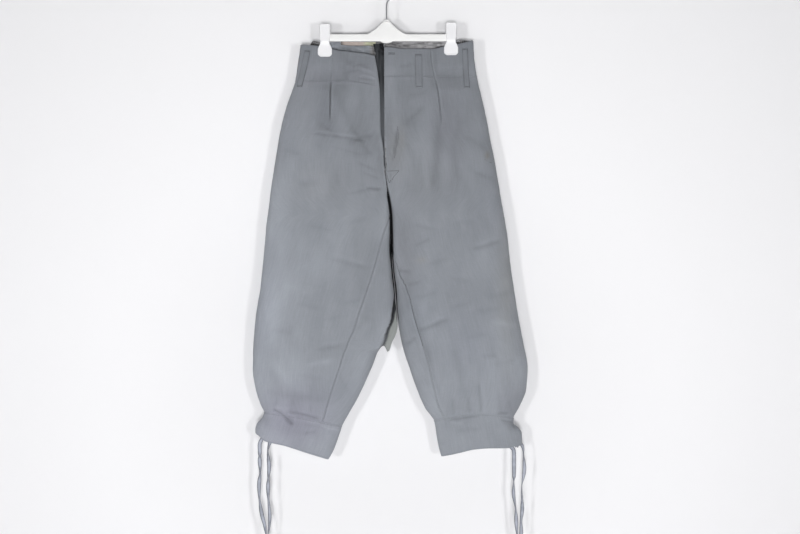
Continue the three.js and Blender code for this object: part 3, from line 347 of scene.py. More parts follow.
def fold_heights(folds, x, drop):
    """How high a table of folds stands at each place."""
    height = np.zeros(np.broadcast(x, drop).shape)
    for x0, drop0, x1, drop1, width, tall in zip(*(folds[column] for column in FOLD.split())):
        along_x, along_drop = x1 - x0, drop1 - drop0
        length = math.hypot(along_x, along_drop)
        along = ((x - x0) * along_x + (drop - drop0) * along_drop) / length**2
        across = ((x - x0) * along_drop - (drop - drop0) * along_x) / length
        taper = rising(along, -FOLD_PAST, FOLD_TAPER) * falling(along, 1 + FOLD_PAST, FOLD_TAPER)
        height += tall * taper * bump(across, width)
    return height


def clip_pinch(x, drop):
    """How tightly the clips hold the cloth at each place: 1 is flat."""
    pinch = 0
    for side in SIDES:
        beside = rising(np.abs(x - CLIP_X[side]), PINCH_FLAT["x"], PINCH_FADE["x"])
        below = rising(drop, PINCH_FLAT["drop"], PINCH_FADE["drop"])
        pinch = np.maximum(pinch, (1 - beside) * (1 - below))
    return pinch


def rounded_edge(distance, reach):
    share = np.clip(1 - distance / reach, 0, 1)
    return np.sqrt(1 - share * share)


def wrapped(turn):
    """The same place's turn, from -1 to 1."""
    return np.where(turn < -1, turn + 2, np.where(turn > 1, turn - 2, turn))


def cloth(side, turn, station):
    """Places on the cloth's outer face, as (points, is it the front). turn goes round a side's section: 0 is
    the outer edge, 1 is the inner edge over the front and -1 is the inner edge over the back."""
    turn, station = np.broadcast_arrays(np.asarray(turn, float), np.asarray(station, float))
    turn = wrapped(turn)
    front = turn >= 0
    away = np.abs(turn)
    outer_x, outer_drop, inner_x, inner_drop = (
        read(EDGES[side], "station", column, station)
        for column in ("outerX", "outerDrop", "innerX", "innerDrop")
    )
    closing, fork = (read(DEPTHS, "station", column, station) for column in ("closing", "fork"))
    depth = np.where(
        front, read(DEPTHS, "station", "front", station), read(DEPTHS, "station", "back", station)
    )
    across = mix(1 - np.cos(away * math.pi / 2), (1 - np.cos(away * math.pi)) / 2, closing)
    x = mix(outer_x, inner_x, across)
    from_outer = np.abs(x - outer_x)
    lifted = read(BOWS[side], "station", "rise", station) * np.sin(across * math.pi)
    corner = read(BOWS[side], "station", "corner", station)
    lifted += corner * bump(from_outer, CORNER_REACH)
    drop = mix(outer_drop, inner_drop, across) - lifted
    near_hem = rising(station, CUFF_HEM[side] - HEM_REACH, HEM_REACH)
    drop = drop + read(HEM_SAG[side], "x", "lower", x) * near_hem
    if side == "right":
        for tip_x, tip_drop, wide, tall, lower in zip(*TIP.values()):
            drop = drop + lower * bump(x - tip_x, wide) * bump(drop - tip_drop, tall)
    outer = rounded_edge(from_outer, OUTER_ROUND * depth + OUTER_ROUND_MORE)
    seat = outer * mix(SEAT_LEAST, 1, np.sin(across * math.pi / 2))
    leg = outer * rounded_edge(np.abs(inner_x - x), fork) * mix(LEG_LEAST, 1, np.sin(across * math.pi))
    half = depth * mix(seat, leg, closing)
    half = mix(half, np.minimum(half, PINCH_HALF), clip_pinch(x, drop))
    folds = np.where(
        front, fold_heights(WIDE_FOLDS[True], x, drop), fold_heights(WIDE_FOLDS[False], x, drop)
    )
    half = half + folds * rising(half, FOLD_FROM, FOLD_OVER)
    if side == "right":
        tucked = rising(x, read(TUCK, "drop", "x", drop), TUCK_SOFT) * rising(drop, TUCK_TOP, TUCK_TOP_SOFT)
        half = np.where(front, mix(half, np.minimum(half, TUCK_HALF), tucked), half)
    return np.stack([x, np.where(front, -half, half), WAIST_LEVEL - drop], -1), front


def unit(vectors):
    return vectors / np.maximum(np.linalg.norm(vectors, axis=-1, keepdims=True), 1e-9)


def outward(side, turn, station):
    """The cloth's outward directions at many places."""
    step, rise = 0.004, 1.5
    round_ = cloth(side, turn + step, station)[0] - cloth(side, turn - step, station)[0]
    down = cloth(side, turn, station + rise)[0] - cloth(side, turn, station - rise)[0]
    return unit(np.cross(round_, down)) * (-1 if side == "right" else 1)


def turn_at_x(side, station, x):
    """The turn at which a side's seat section reaches x."""
    outer_x = read(EDGES[side], "station", "outerX", station)
    inner_x = read(EDGES[side], "station", "innerX", station)
    across = np.clip((x - outer_x) / (inner_x - outer_x), 0, 1)
    return np.arccos(1 - across) * 2 / math.pi


def inseam_turn(side, station):
    share = read(INSEAMS[side], "station", "share", station)
    return np.where(station <= CROTCH, 1, np.arccos(1 - 2 * share) / math.pi)


def ripple(x, drop, front, side):
    """The small unevenness of cloth that was washed and worn, in millimetres."""
    first_seed = 11 + 4 * SIDES.index(side) + (0 if front else 2)
    return sum(
        tall * noise(x / across + slant * drop, drop / down, first_seed + int(seed))
        for tall, across, down, slant, seed in zip(*RIPPLES.values())
    )


# ---------- Meshes ----------
def signed_volume(points, quads):
    a, b, c, d = (points[quads[:, corner]] for corner in range(4))
    return (np.einsum("ij,ij->i", a, np.cross(b, c)) + np.einsum("ij,ij->i", a, np.cross(c, d))).sum()


def make_mesh(name, points, quads, caps, look, uv=None, dye_and_shade=None, sharp=None, nodes=None):
    """A piece from points in millimetres, with all its faces turned outwards. nodes are the ones it stands in
    for, and if they aren't given, the one of its own name."""
    material, slot = LOOKS[look]
    faces = quads.tolist() + [list(map(int, cap)) for cap in caps]
    if signed_volume(points, quads) < 0:
        faces = [face[::-1] for face in faces]
    mesh = bpy.data.meshes.new(name)
    mesh.from_pydata((points * MM).tolist(), [], faces)
    if uv is not None:
        corners = np.empty(len(mesh.loops), np.int32)
        mesh.loops.foreach_get("vertex_index", corners)
        layer = mesh.uv_layers.new(name="cloth")
        layer.data.foreach_set("uv", (uv * MM)[corners].astype(np.float32).ravel())
    if dye_and_shade is not None:
        layer = mesh.color_attributes.new("dye_and_shade", "FLOAT_COLOR", "POINT")
        rgba = np.ones((len(points), 4), np.float32)
        rgba[:, :3] = dye_and_shade
        layer.data.foreach_set("color", rgba.ravel())
    mesh.shade_smooth()
    if sharp is not None:
        mesh.set_sharp_from_angle(angle=math.radians(sharp))
    piece = bpy.data.objects.new(f"{name}_{slot}", mesh)
    bpy.context.scene.collection.objects.link(piece)
    mesh.materials.append(material)
    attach(piece, "root")
    if nodes is None:
        nodes = (name,)
    if nodes:
        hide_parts(*nodes)
    return piece


def shell(outer, directions, thickness):
    """A closed thin wall: its points and quads, with round rims and its outer face on a grid of points."""
    rows, columns = outer.shape[:2]
    thickness = np.broadcast_to(thickness, (rows, columns))[..., None]
    away = np.zeros_like(outer)
    away[0] += unit(outer[0] - outer[1])
    away[-1] += unit(outer[-1] - outer[-2])
    away[:, 0] += unit(outer[:, 0] - outer[:, 1])
    away[:, -1] += unit(outer[:, -1] - outer[:, -2])
    away = np.where(np.abs(away).sum(-1, keepdims=True) > 0, unit(away), 0)
    edge = outer - away * 0.05
    face = outer - away * 0.22 * thickness
    lining = face - directions * thickness
    index = np.arange(rows * columns).reshape(rows, columns)
    ring = np.concatenate([index[0, :-1], index[:-1, -1], index[-1, :0:-1], index[:0:-1, 0]])
    rim = (edge - directions * thickness / 2).reshape(-1, 3)[ring]
    points = np.concatenate([face.reshape(-1, 3), lining.reshape(-1, 3), rim])
    corner = index[:-1, :-1].ravel()
    right, below, across = corner + 1, corner + columns, corner + columns + 1
    total = rows * columns
    front = np.stack([corner, right, across, below], 1)
    back = np.stack([corner, below, across, right], 1) + total
    here, there = ring, np.roll(ring, -1)
    mid = 2 * total + np.arange(len(ring))
    mid_there = np.roll(mid, -1)
    near = np.stack([there, here, mid, mid_there], 1)
    far = np.stack([mid_there, mid, here + total, there + total], 1)
    return points, np.concatenate([front, back, near, far]), ring


def loft(rings):
    """A closed tube through rings of points: its points, quads and two end caps."""
    count, sides = rings.shape[:2]
    index = np.arange(count * sides).reshape(count, sides)
    corner, right = index[:-1].ravel(), np.roll(index[:-1], -1, 1).ravel()
    quads = np.stack([corner, right, right + sides, corner + sides], 1)
    return rings.reshape(-1, 3), quads, (index[0][::-1], index[-1])


def curve(points, count):
    """Places and directions along a centripetal curve through points."""
    points = np.asarray(points, float)
    padded = np.concatenate([[2 * points[0] - points[1]], points, [2 * points[-1] - points[-2]]])
    place = np.linspace(0, len(points) - 1, count)
    row = np.minimum(place.astype(int), len(points) - 2)
    t = (place - row)[:, None]
    p0, p1, p2, p3 = (padded[row + step] for step in range(4))
    gap0, gap1, gap2 = (
        np.sqrt(np.linalg.norm(b - a, axis=1))[:, None] for a, b in ((p0, p1), (p1, p2), (p2, p3))
    )
    start = ((p1 - p0) / gap0 - (p2 - p0) / (gap0 + gap1) + (p2 - p1) / gap1) * gap1
    end = ((p2 - p1) / gap1 - (p3 - p1) / (gap1 + gap2) + (p3 - p2) / gap2) * gap1
    cubic, square = 2 * p1 - 2 * p2 + start + end, -3 * p1 + 3 * p2 - 2 * start - end
    places = p1 + start * t + square * t**2 + cubic * t**3
    directions = unit(start + 2 * square * t + 3 * cubic * t**2)
    return places, directions


# ---------- Materials ----------
MATT, GLOSS, SHEEN, SHEEN_ROUGHNESS = 0.9, 0.18, 0.12, 0.6
# The least and the most roughness of cloth, and the darkness of its dye and painted shade at which it
# loses its sheen and gloss.
CLOTH_ROUGHNESS, DULL_DYE_AND_SHADE = (0.84, 0.98), (0.01, 0.12)
# Slubs down and across, blotches, specks and streaks: cell size in metres, detail and seed.
SLUBS = (
    ((0.0026, 0.030), 3, 1), ((0.022, 0.0022), 2, 5), ((0.045, 0.060), 3, 9), ((0.0011, 0.0016), 1, 13),
    ((0.0055, 0.12), 2, 17),
)
# How far threads wander in a weave, in metres, and the wave texture's scale for one thread a metre: its own
# pattern repeats every pi / 10 units.
THREAD_WANDER = (0.0009,) * 3
WAVE_SCALE = 0.314


def new_material(name, roughness, specular, metallic=0.0, sheen=0.0):
    material = bpy.data.materials.new(name)
    material.use_nodes = True
    shader = material.node_tree.nodes["Principled BSDF"]
    shader.inputs["Roughness"].default_value = roughness
    shader.inputs["Specular IOR Level"].default_value = specular
    shader.inputs["Metallic"].default_value = metallic
    shader.inputs["Sheen Weight"].default_value = sheen
    return material, material.node_tree, shader


def node(tree, kind, inputs=None, **settings):
    made = tree.nodes.new(kind)
    for key, value in settings.items():
        setattr(made, key, value)
    for key, value in (inputs or {}).items():
        if isinstance(value, bpy.types.NodeSocket):
            tree.links.new(value, made.inputs[key])
        else:
            made.inputs[key].default_value = value
    return made


def stretched_noise(tree, where, size, detail, seed):
    """Noise with cells of a given width and height in metres, as a number from 0 to 1."""
    wide, tall = size
    placed = node(tree, "ShaderNodeMapping", {
        "Vector": where, "Location": (seed, seed * 1.7, seed), "Scale": (1 / wide, 1 / tall, 1 / wide),
    })
    return node(tree, "ShaderNodeTexNoise", {
        "Vector": placed.outputs[0], "Scale": 1, "Detail": detail, "Roughness": 0.55,
    }).outputs[0]


def math_node(tree, operation, a, b):
    return node(tree, "ShaderNodeMath", {0: a, 1: b}, operation=operation).outputs[0]


def varied(tree, value, low, high):
    """A number from 0 to 1 turned into one from low to high."""
    return node(tree, "ShaderNodeMapRange", {"Value": value, "To Min": low, "To Max": high}).outputs[0]


def scaled_colour(tree, colour, factor):
    """A colour or place multiplied by a factor."""
    return node(tree, "ShaderNodeVectorMath", {0: colour, 1: factor}, operation="MULTIPLY").outputs[0]


def weave(tree, where, pitch):
    """The height of a plain weave: threads each way, unevenly thick."""
    heights = []
    for direction, seed in (("X", 3), ("Y", 8)):
        wobble = scaled_colour(tree, stretched_noise(tree, where, (0.006, 0.006), 1, seed), THREAD_WANDER)
        moved = node(tree, "ShaderNodeVectorMath", {0: where, 1: wobble}, operation="ADD").outputs[0]
        heights.append(node(tree, "ShaderNodeTexWave", {
            "Vector": moved, "Scale": WAVE_SCALE / pitch, "Distortion": 0,
        }, bands_direction=direction).outputs["Fac"])
    return math_node(tree, "MAXIMUM", *heights)


def cloth_material(name, streaks, pitch, raised, tint=(1, 1, 1)):
    """Woven cloth, coloured by each mesh's own dye and painted shade, with slubs down its length and a plain
    weave. Its threads' pitch and height are in metres."""
    material, tree, shader = new_material(name, MATT, GLOSS, sheen=SHEEN)
    shader.inputs["Sheen Roughness"].default_value = SHEEN_ROUGHNESS
    where = node(tree, "ShaderNodeUVMap", uv_map="cloth").outputs[0]
    dye_and_shade = node(tree, "ShaderNodeVertexColor", layer_name="dye_and_shade").outputs[0]
    for socket, full in (("Sheen Weight", SHEEN), ("Specular IOR Level", GLOSS)):
        dulled = node(tree, "ShaderNodeMapRange", {
            "Value": node(tree, "ShaderNodeRGBToBW", {0: dye_and_shade}).outputs[0],
            "From Min": DULL_DYE_AND_SHADE[0], "From Max": DULL_DYE_AND_SHADE[1], "To Min": 0.0, "To Max": full,
        })
        tree.links.new(dulled.outputs[0], shader.inputs[socket])
    down, across, blotch, speck, streak = (stretched_noise(tree, where, *look) for look in SLUBS)
    shade = varied(tree, down, 1 - streaks, 1 + streaks)
    for value, share in ((across, 0.45), (blotch, 0.55), (speck, 0.9), (streak, 0.5)):
        amount = share * streaks
        shade = math_node(tree, "MULTIPLY", shade, varied(tree, value, 1 - amount, 1 + amount))
    tinted = scaled_colour(tree, dye_and_shade, tint)
    tree.links.new(scaled_colour(tree, tinted, shade), shader.inputs["Base Color"])
    tree.links.new(varied(tree, blotch, *CLOTH_ROUGHNESS), shader.inputs["Roughness"])
    threads = math_node(tree, "MULTIPLY", weave(tree, where, pitch), varied(tree, down, 0.5, 1.4))
    height = math_node(tree, "ADD", threads, math_node(tree, "MULTIPLY", down, 0.8))
    relief = node(tree, "ShaderNodeBump", {"Height": height, "Distance": raised, "Strength": 0.7})
    tree.links.new(relief.outputs[0], shader.inputs["Normal"])
    return material


def moulded_material(name, colour, roughness, uneven, metallic=0, specular=0.5):
    """Moulded plastic, or drawn wire, with faint marks of use."""
    material, tree, shader = new_material(name, roughness, specular, metallic)
    where = node(tree, "ShaderNodeTexCoord").outputs["Object"]
    cloud = stretched_noise(tree, where, (0.018, 0.018), 3, 2)
    scratch = stretched_noise(tree, where, (0.0012, 0.012), 2, 6)
    tint = scaled_colour(tree, varied(tree, cloud, 1 - uneven, 1 + uneven), colour)
    tree.links.new(tint, shader.inputs["Base Color"])
    tree.links.new(varied(tree, scratch, roughness - 0.08, roughness + 0.1), shader.inputs["Roughness"])
    relief = node(tree, "ShaderNodeBump", {"Height": scratch, "Distance": 0.00008, "Strength": 0.5})
    tree.links.new(relief.outputs[0], shader.inputs["Normal"])
    return material


# Each look: its material, and the slot that it fills.
LOOKS = {
    "cloth": (cloth_material("linen_cotton", 0.11, 0.0009, 0.00022), "cloth"),
    "tape": (cloth_material("woven_tape", 0.08, 0.0007, 0.00016, (1.36, 1.34, 1.40)), "tape"),
    "facing": (cloth_material("facing_drill", 0.06, 0.0006, 0.00010), "facing"),
    "thread": (cloth_material("sewing_thread", 0.05, 0.0004, 0.00005), "cloth"),
    "bar": (moulded_material("white_plastic", (0.82, 0.82, 0.812), 0.38, 0.012, specular=0.35), "plastic"),
    "clip": (moulded_material("clip_plastic", (0.80, 0.80, 0.815), 0.36, 0.012, specular=0.35), "plastic"),
    "button": (moulded_material("dark_composition", (0.12, 0.11, 0.10), 0.45, 0.10), "button"),
    "wire": (moulded_material("drawn_wire", (0.42, 0.43, 0.45), 0.34, 0.05, metallic=0.9), "wire"),
}
GREY_BLUE = np.array((0.235, 0.25, 0.275))
LINING = np.array((0.232, 0.230, 0.236))
TAN = np.array((0.42, 0.36, 0.33))

# ---------- Camera ----------
LENS, SENSOR = 50, 36
CAMERA_PLACE = (0.031, -2.5556, -0.659)
camera = bpy.data.objects.new("camera", bpy.data.cameras.new("camera"))
camera.data.lens = LENS
camera.data.sensor_width = SENSOR
camera.location = CAMERA_PLACE
camera.rotation_euler = (math.radians(90), 0, 0)
camera.data.clip_end = 30
bpy.context.scene.collection.objects.link(camera)
bpy.context.scene.camera = camera
bpy.context.scene.view_settings.view_transform = "Standard"

# ---------- Ties ----------
TAPE_WIDTH = 9
# The tape's section: shares of its width, and places through its thickness, with thicker edges.
TAPE_SECTION = np.array([
    (-0.5, 0), (-0.49, -0.5), (-0.44, -0.6), (-0.4, -0.45), (-0.22, -0.45), (0.22, -0.45), (0.4, -0.45),
    (0.44, -0.6), (0.49, -0.5), (0.5, 0), (0.49, 0.5), (0.44, 0.6), (0.4, 0.45), (0.22, 0.45), (-0.22, 0.45),
    (-0.4, 0.45), (-0.44, 0.6), (-0.49, 0.5),
])
# Each tie: its side, how far across the cuff's back it is sewn, its real length in metres from there to its
# free end, its route as x, z and the turn of its flat in degrees, and where its free end hangs.
TIES = {
    "tie_right_outer": ("right", 0.055, 0.29, (
        (-292, -1066, 5), (-292, -1084, 15), (-292, -1094, 65), (-291.8, -1105, 10), (-290.5, -1132, 75),
        (-293, -1156, 20), (-292, -1195, 75), (-286.5, -1229, 15), (-280.5, -1252, 45), (-277, -1273, 80),
    ), (-288, -1322)),
    "tie_right_inner": ("right", 0.17, 0.29, (
        (-271.5, -1071, 60), (-273.7, -1084, 80), (-270.5, -1119, 15), (-272, -1145, 70),
        (-272.6, -1165, 20), (-271.4, -1195, 70), (-268.6, -1234, 40), (-269.3, -1252, 60),
        (-272, -1273, 80),
    ), (-264, -1330)),
    "tie_left_inner": ("left", 0.125, 0.30, (
        (292.5, -1080, 5), (293.7, -1114, 5), (293.6, -1138, 20), (293, -1153, 75), (292.1, -1181, 30),
        (296.7, -1213, 70), (298.3, -1243, 10), (300.4, -1273, 60), (303.6, -1290, 80),
    ), (297, -1338)),
    "tie_left_outer": ("left", 0.05, 0.32, (
        (308.5, -1066.5, -150), (312, -1070, -150), (314.6, -1078, -125), (315.1, -1091, -105),
        (316.9, -1126, -165), (311.2, -1163, -105), (311.6, -1190, -120), (312.1, -1218, -165),
        (309.4, -1245, -130), (309.8, -1270, -165), (308.2, -1290, -100),
    ), (318, -1346)),
}
KNOTS = {"right": (-274.5, -1280.6), "left": (305.9, -1297.6)}
KNOT_HALF = (7, 5, 7.5)
# Each tie is sewn to its cuff at these heights above the hem, this far under the outer face.
SEWN_ABOVE, SEWN_UNDER = (22, 11, 0), 4.6
# The turns of a tie's flat below its knot, how far behind or before the other tie it hangs there, and how
# many places its route is worked out at.
END_TURNS, TIE_APART, TIE_STEPS = (80, 55, 30), 1.5, 260


def tie_seat(side, share, above_hem):
    """A place inside the back of a cuff, and the turn of the flat tape sewn there."""
    turn = -math.acos(1 - 2 * share) / math.pi
    station = CUFF_HEM[side] - above_hem
    way = outward(side, np.array([turn]), station)[0]
    place = cloth(side, np.array([turn]), station)[0][0] - way * SEWN_UNDER
    return place, math.degrees(math.atan2(way[1], way[0])) - 90


def tape_rings(places, turns, count):
    """Rings of a flat tape along a route, with its line of centres."""
    middle, along = curve(places, count)
    place = np.linspace(0, len(turns) - 1, count)
    row = np.minimum(place.astype(int), len(turns) - 2)
    turns = np.radians(np.asarray(turns, float))
    angle = mix(turns[row], turns[row + 1], smooth(place - row))
    level = np.stack([np.cos(angle), np.sin(angle), np.zeros(count)], 1)
    through = unit(np.cross(along, level))
    wide = unit(np.cross(through, along))
    across, deep = TAPE_SECTION[:, 0] * TAPE_WIDTH, TAPE_SECTION[:, 1]
    rings = middle[:, None] + wide[:, None] * across[None, :, None] + through[:, None] * deep[None, :, None]
    return rings, middle


def tape_dye_and_shade(rings, seed):
    """Uv places and colours for a tape's rings: unevenly worn, paler along its flat as painted light and
    darker at its rims as painted shade.
    """
    count, sides = rings.shape[:2]
    down = np.concatenate([[0], np.cumsum(np.linalg.norm(np.diff(rings.mean(1), axis=0), axis=1))])
    round_ = TAPE_SECTION[:, 0] * TAPE_WIDTH
    uv = np.stack(np.broadcast_arrays(round_[None], down[:, None]), -1).reshape(-1, 2)
    wear_and_rim_shade = 1.0 + 0.12 * noise(down / 23, down * 0, seed) + 0.14 * noise(down / 6, down * 0, seed + 1)
    painted_light_middle, painted_shade_rim = 1.25, 0.5
    wear_and_rim_shade = wear_and_rim_shade[:, None] * mix(painted_light_middle, painted_shade_rim, rising(np.abs(round_), 1.8, 2.2))[None]
    return uv, wear_and_rim_shade.reshape(-1, 1) * GREY_BLUE


def make_tie(name):
    """A tie from inside its cuff to its free end, as one cord."""
    side, share, length, route, (end_x, end_z) = TIES[name]
    seats = [tie_seat(side, share, above) for above in SEWN_ABOVE]
    places = [place for place, _ in seats]
    places[2][2] -= 3
    turns = [turn for _, turn in seats]
    for index, (x, z, turn) in enumerate(route):
        places.append((x, places[2][1] * max(0, 1 - (index + 1) / 5), z))
        turns.append(turn)
    knot_x, knot_z = KNOTS[side]
    away = (1 if name.endswith("outer") else -1) * (-1 if side == "right" else 1)
    start_x, start_z = knot_x + away * KNOT_HALF[0] * 0.45, knot_z - KNOT_HALF[2]
    y = away * TIE_APART
    places += [
        (knot_x + away, away * 0.8, knot_z), (start_x, y, start_z),
        (mix(start_x, end_x, 0.25), y, mix(start_z, end_z, 0.5)), (end_x, y, end_z),
    ]
    turns += [turns[-1], *END_TURNS]
    rings, middle = tape_rings(np.array(places), turns, TIE_STEPS)
    points, quads, caps = loft(rings)
    uv, dye_and_shade = tape_dye_and_shade(rings, 300 + len(name) + int(abs(end_x)))
    piece = make_mesh(name, points, quads, caps, "tape", uv, dye_and_shade, nodes=(name, f"{name}_end"))


def make_knot(side):
    """A tight knot of tape: a lump wound round by its own turns."""
    rows, columns, pole = 40, 56, 0.02
    windings, groove = 3, 0.13
    down = np.linspace(pole, math.pi - pole, rows)[:, None]
    round_ = np.linspace(0, 2 * math.pi, columns, endpoint=False)[None]
    winding = windings * down + round_
    swell = 1 - groove + groove * np.abs(np.sin(winding)) ** 0.6 * np.sin(down) ** 0.5
    swell = swell * (1 + 0.03 * np.sin(3 * round_ + 2 * down))
    half = np.array(KNOT_HALF)
    rings = np.stack(np.broadcast_arrays(
        np.sin(down) * np.cos(round_), np.sin(down) * np.sin(round_), np.cos(down) + 0 * round_,
    ), -1) * half * swell[..., None]
    rings = rings + np.array((KNOTS[side][0], 0, KNOTS[side][1]))
    points, quads, caps = loft(rings)
    uv = np.stack(np.broadcast_arrays(round_ * 7, down * 8), -1).reshape(-1, 2)
    # Painted shade in the grooves between the knot's turns.
    dye_and_shade = np.clip(0.55 + 0.5 * (swell - 1 + groove) / groove, 0.5, 1.02).reshape(-1, 1) * GREY_BLUE
    return make_mesh(f"knot_{side}", points, quads, caps, "tape", uv, dye_and_shade)


KNOT_PIECES = {side: make_knot(side) for side in SIDES}
for tie_name in TIES:
    make_tie(tie_name)


# ---------- Cloth ----------
# The cloth's thickness.
WALL = 1.3
# How far in from a seam the cloth lies flatter, how much of its relief is left there, and the pitch of
# the lining's stripes.
SEAM_REACH, SEAM_LEAST, LINING_STRIPE = 9, 0.35, 4.6
# Patches of other colour and tone: place, half size, and how much red, green and blue they add.
TONE_PATCHES = table(
    "x drop wide tall red green blue",
    (231, 264, 6, 9, -0.10, -0.16, -0.24), (79, 503, 13, 7, 0.05, 0.02, -0.03),
    (-150, 330, 70, 50, 0.02, 0.01, 0.0), (90, 300, 60, 70, 0.015, 0.01, 0.0),
    (-60, 470, 40, 60, -0.015, -0.015, -0.02), (20, 250, 22, 60, 0.03, 0.01, -0.02),
    (275, 560, 22, 150, 0.03, 0.01, -0.03), (190, 700, 60, 70, 0.015, 0.015, 0.02),
    (-290, 600, 40, 200, 0.05, 0.05, 0.07), (-120, 800, 90, 50, 0.01, 0.01, 0.02),
    (36, 226, 7, 26, 0.05, 0.03, 0.0), (-236, 180, 30, 90, 0.04, 0.04, 0.05),
    (60, 620, 50, 60, -0.01, 0.0, 0.01), (240, 380, 40, 60, 0.02, 0.02, 0.03),
    (-262, 560, 45, 190, 0.08, 0.08, 0.08), (140, 200, 45, 95, -0.19, -0.20, -0.19),
    (45, 500, 32, 110, -0.15, -0.16, -0.16), (-215, 870, 90, 70, -0.10, -0.14, -0.08),
    (-140, 170, 30, 50, -0.17, -0.17, -0.16), (-185, 120, 40, 90, 0.08, 0.07, 0.07),
    (140, 480, 70, 60, -0.07, -0.07, -0.07), (175, 680, 60, 90, -0.11, -0.11, -0.10),
    (-165, 810, 60, 26, -0.06, -0.06, -0.06), (285, 825, 34, 50, -0.15, -0.16, -0.15),
    (-60, 200, 30, 60, -0.04, -0.04, -0.04), (52, 330, 26, 60, -0.03, -0.03, -0.03),
    (-60, 77, 30, 25, -0.12, -0.13, -0.12), (-150, 77, 55, 25, 0.06, 0.05, 0.06),
    (-60, 342, 30, 40, 0.05, 0.05, 0.05), (185, 77, 30, 25, 0.05, 0.05, 0.05),
    (190, 145, 35, 40, -0.07, -0.07, -0.07),
)
FADES = table(
    "drop tone", (0, 0.78), (45, 0.83), (75, 0.92), (120, 0.90), (215, 0.91), (290, 0.96), (450, 0.99),
    (600, 1.02), (700, 1.05), (800, 1.09), (940, 1.12),
)
# How much paler the wearer's right side is, how much a millimetre of relief lightens or darkens the colour
# as painted light and shade, and how dark the painted shadow in the pressed gap between the legs is.
RIGHT_PALER, RELIEF_PAINTED_SHADE, GAP_PAINTED_SHADE = 0.17, 0.075, 0.065
# What the tucked cloth between the legs is darkened by as painted shade, and tinted by, beyond its band of
# painted shadow.
BEYOND_PAINTED_SHADE = 0.95
BEYOND_TINT = np.array((0.05, 0.04, -0.08))


# Where a piece's grid lines draw together: at its ends and near its pressed line.
END_PULL, END_REACH, DART_PULL, DART_REACH, DART_BELOW = 1.6, 6, 4, 5, 60
# The level where a piece's x is read for its top and foot, and about how wide the piece is there.
GUIDE_STATION, GUIDE_WIDTH = 40.0, 130


def half_front(turn):
    """1 on the front and 0 on the back, with a soft change at a section's two edges."""
    near = smooth(np.minimum(np.abs(turn), 1 - np.abs(turn)) / 0.03) / 2
    return np.where(turn >= 0, 0.5 + near, 0.5 - near)


def relief(side, turn, x, drop):
    """How far the cloth's folds and unevenness stand out from its plain surface, in millimetres."""
    front = half_front(turn)
    height = mix(
        fold_heights(CREASES[False], x, drop) + ripple(x, drop, False, side),
        fold_heights(CREASES[True], x, drop) + ripple(x, drop, True, side),
        front,
    )
    for is_front in (True, False):
        dart = DARTS[(is_front, side)]
        depth = read(dart, "drop", "depth", drop) * ((drop > dart["drop"][0]) & (drop < dart["drop"][-1]))
        across = x - read(dart, "drop", "x", drop)
        ridge = DART_RIDGE["share"] * bump(across - DART_RIDGE["place"], DART_RIDGE["width"])
        groove = bump(across, DART_WIDTH) - ridge
        height = height - depth * groove * np.where(front > 0.5, is_front, not is_front)
    return height * (1 - PINCH_CALM * clip_pinch(x, drop)) * RELIEF_GAIN


# How far each kind of edge sinks, its ridge's height, and how far in the ridge lies. A free edge is not sewn.
EDGE_KINDS = {
    "under": (0.70, 0.25, 4.5), "over": (0.25, 0.60, 3.0), "hem": (0.15, 0.25, 2.2), "free": (0.0, 0.0, 3.0),
    "lapped": (0.0, 0.35, 0.8), "lap": (0.22, 0.12, 4.0),
}
SINK_WIDTH, RIDGE_WIDTH, PUCKER, PUCKER_REACH = 1.3, 2.2, 0.36, 9


def edge_relief(kind, distance, along, seed):
    """How far a seam or a hem stands out, with the small puckers of its sewing."""
    sink, ridge, place = EDGE_KINDS[kind]
    height = ridge * bump(distance - place, RIDGE_WIDTH) - sink * bump(distance, SINK_WIDTH)
    if kind == "free":
        return height
    pucker = noise(along / 10.5, distance / 30, seed) + 0.6 * noise(along / 5.5, distance / 30, seed + 9)
    return height + PUCKER * pucker * np.exp(-distance / PUCKER_REACH) * smooth(distance / 1.5 + 0.3)


def dye_and_shade_at(x, drop, front, height, side):
    """The cloth's colour at each place: paler down the legs, with painted shade where it sinks, painted light
    where it rises, painted shadow in the gap between the legs and along the right leg's tucked edge.
    """
    shade = read(FADES, "drop", "tone", drop) + 0.02 * noise(x / 70, drop / 90, 71)
    shade = shade + RIGHT_PALER * falling(x, -90, 150) * rising(drop, 20, 260)
    shade = shade + 0.018 * noise(x / 26, drop / 40, 72 + SIDES.index(side))
    # Painted shade in the troughs and painted light on the ridges of the relief.
    shade = shade + RELIEF_PAINTED_SHADE * np.clip(height, -4, 2)
    # Painted shadow in the pressed gap between the legs.
    from_inner = np.abs(x - read(EDGES[side], "station", "innerX", drop))
    gap_shadow = falling(from_inner, read(SHADED_GAP, "drop", "half", drop) + 1.1, 2)
    gap_shadow = gap_shadow * (drop > SHADED_GAP["drop"][0]) * (drop < SHADED_GAP["drop"][-1])
    shade = mix(shade, GAP_PAINTED_SHADE, gap_shadow)
    tint = np.ones(3)
    if side == "right":
        # Along the right leg's tucked edge: a band of painted shadow, and painted shade on the cloth beyond
        # it.
        beyond = x - read(TUCK, "drop", "x", drop)
        level = rising(drop, 580, 20) * falling(drop, 740, 30) * front
        shadow_band = rising(beyond, 0, 1.5) * falling(beyond, 10, 3)
        far = rising(beyond, 6, 3) * level
        shade = shade * mix(1, BEYOND_PAINTED_SHADE, far)
        shade = mix(shade, read(TUCK_PAINTED_SHADOW, "drop", "shade", drop), shadow_band * level)
        tint = 1 + far[..., None] * BEYOND_TINT
    colour = shade[..., None] * tint
    for spot_x, spot_drop, wide, tall, *rgb in zip(*TONE_PATCHES.values()):
        near = bump(x - spot_x, wide) * bump(drop - spot_drop, tall) * front
        colour = colour * (1 + near[..., None] * np.array(rgb))
    return np.clip(colour, 0.01, 2)


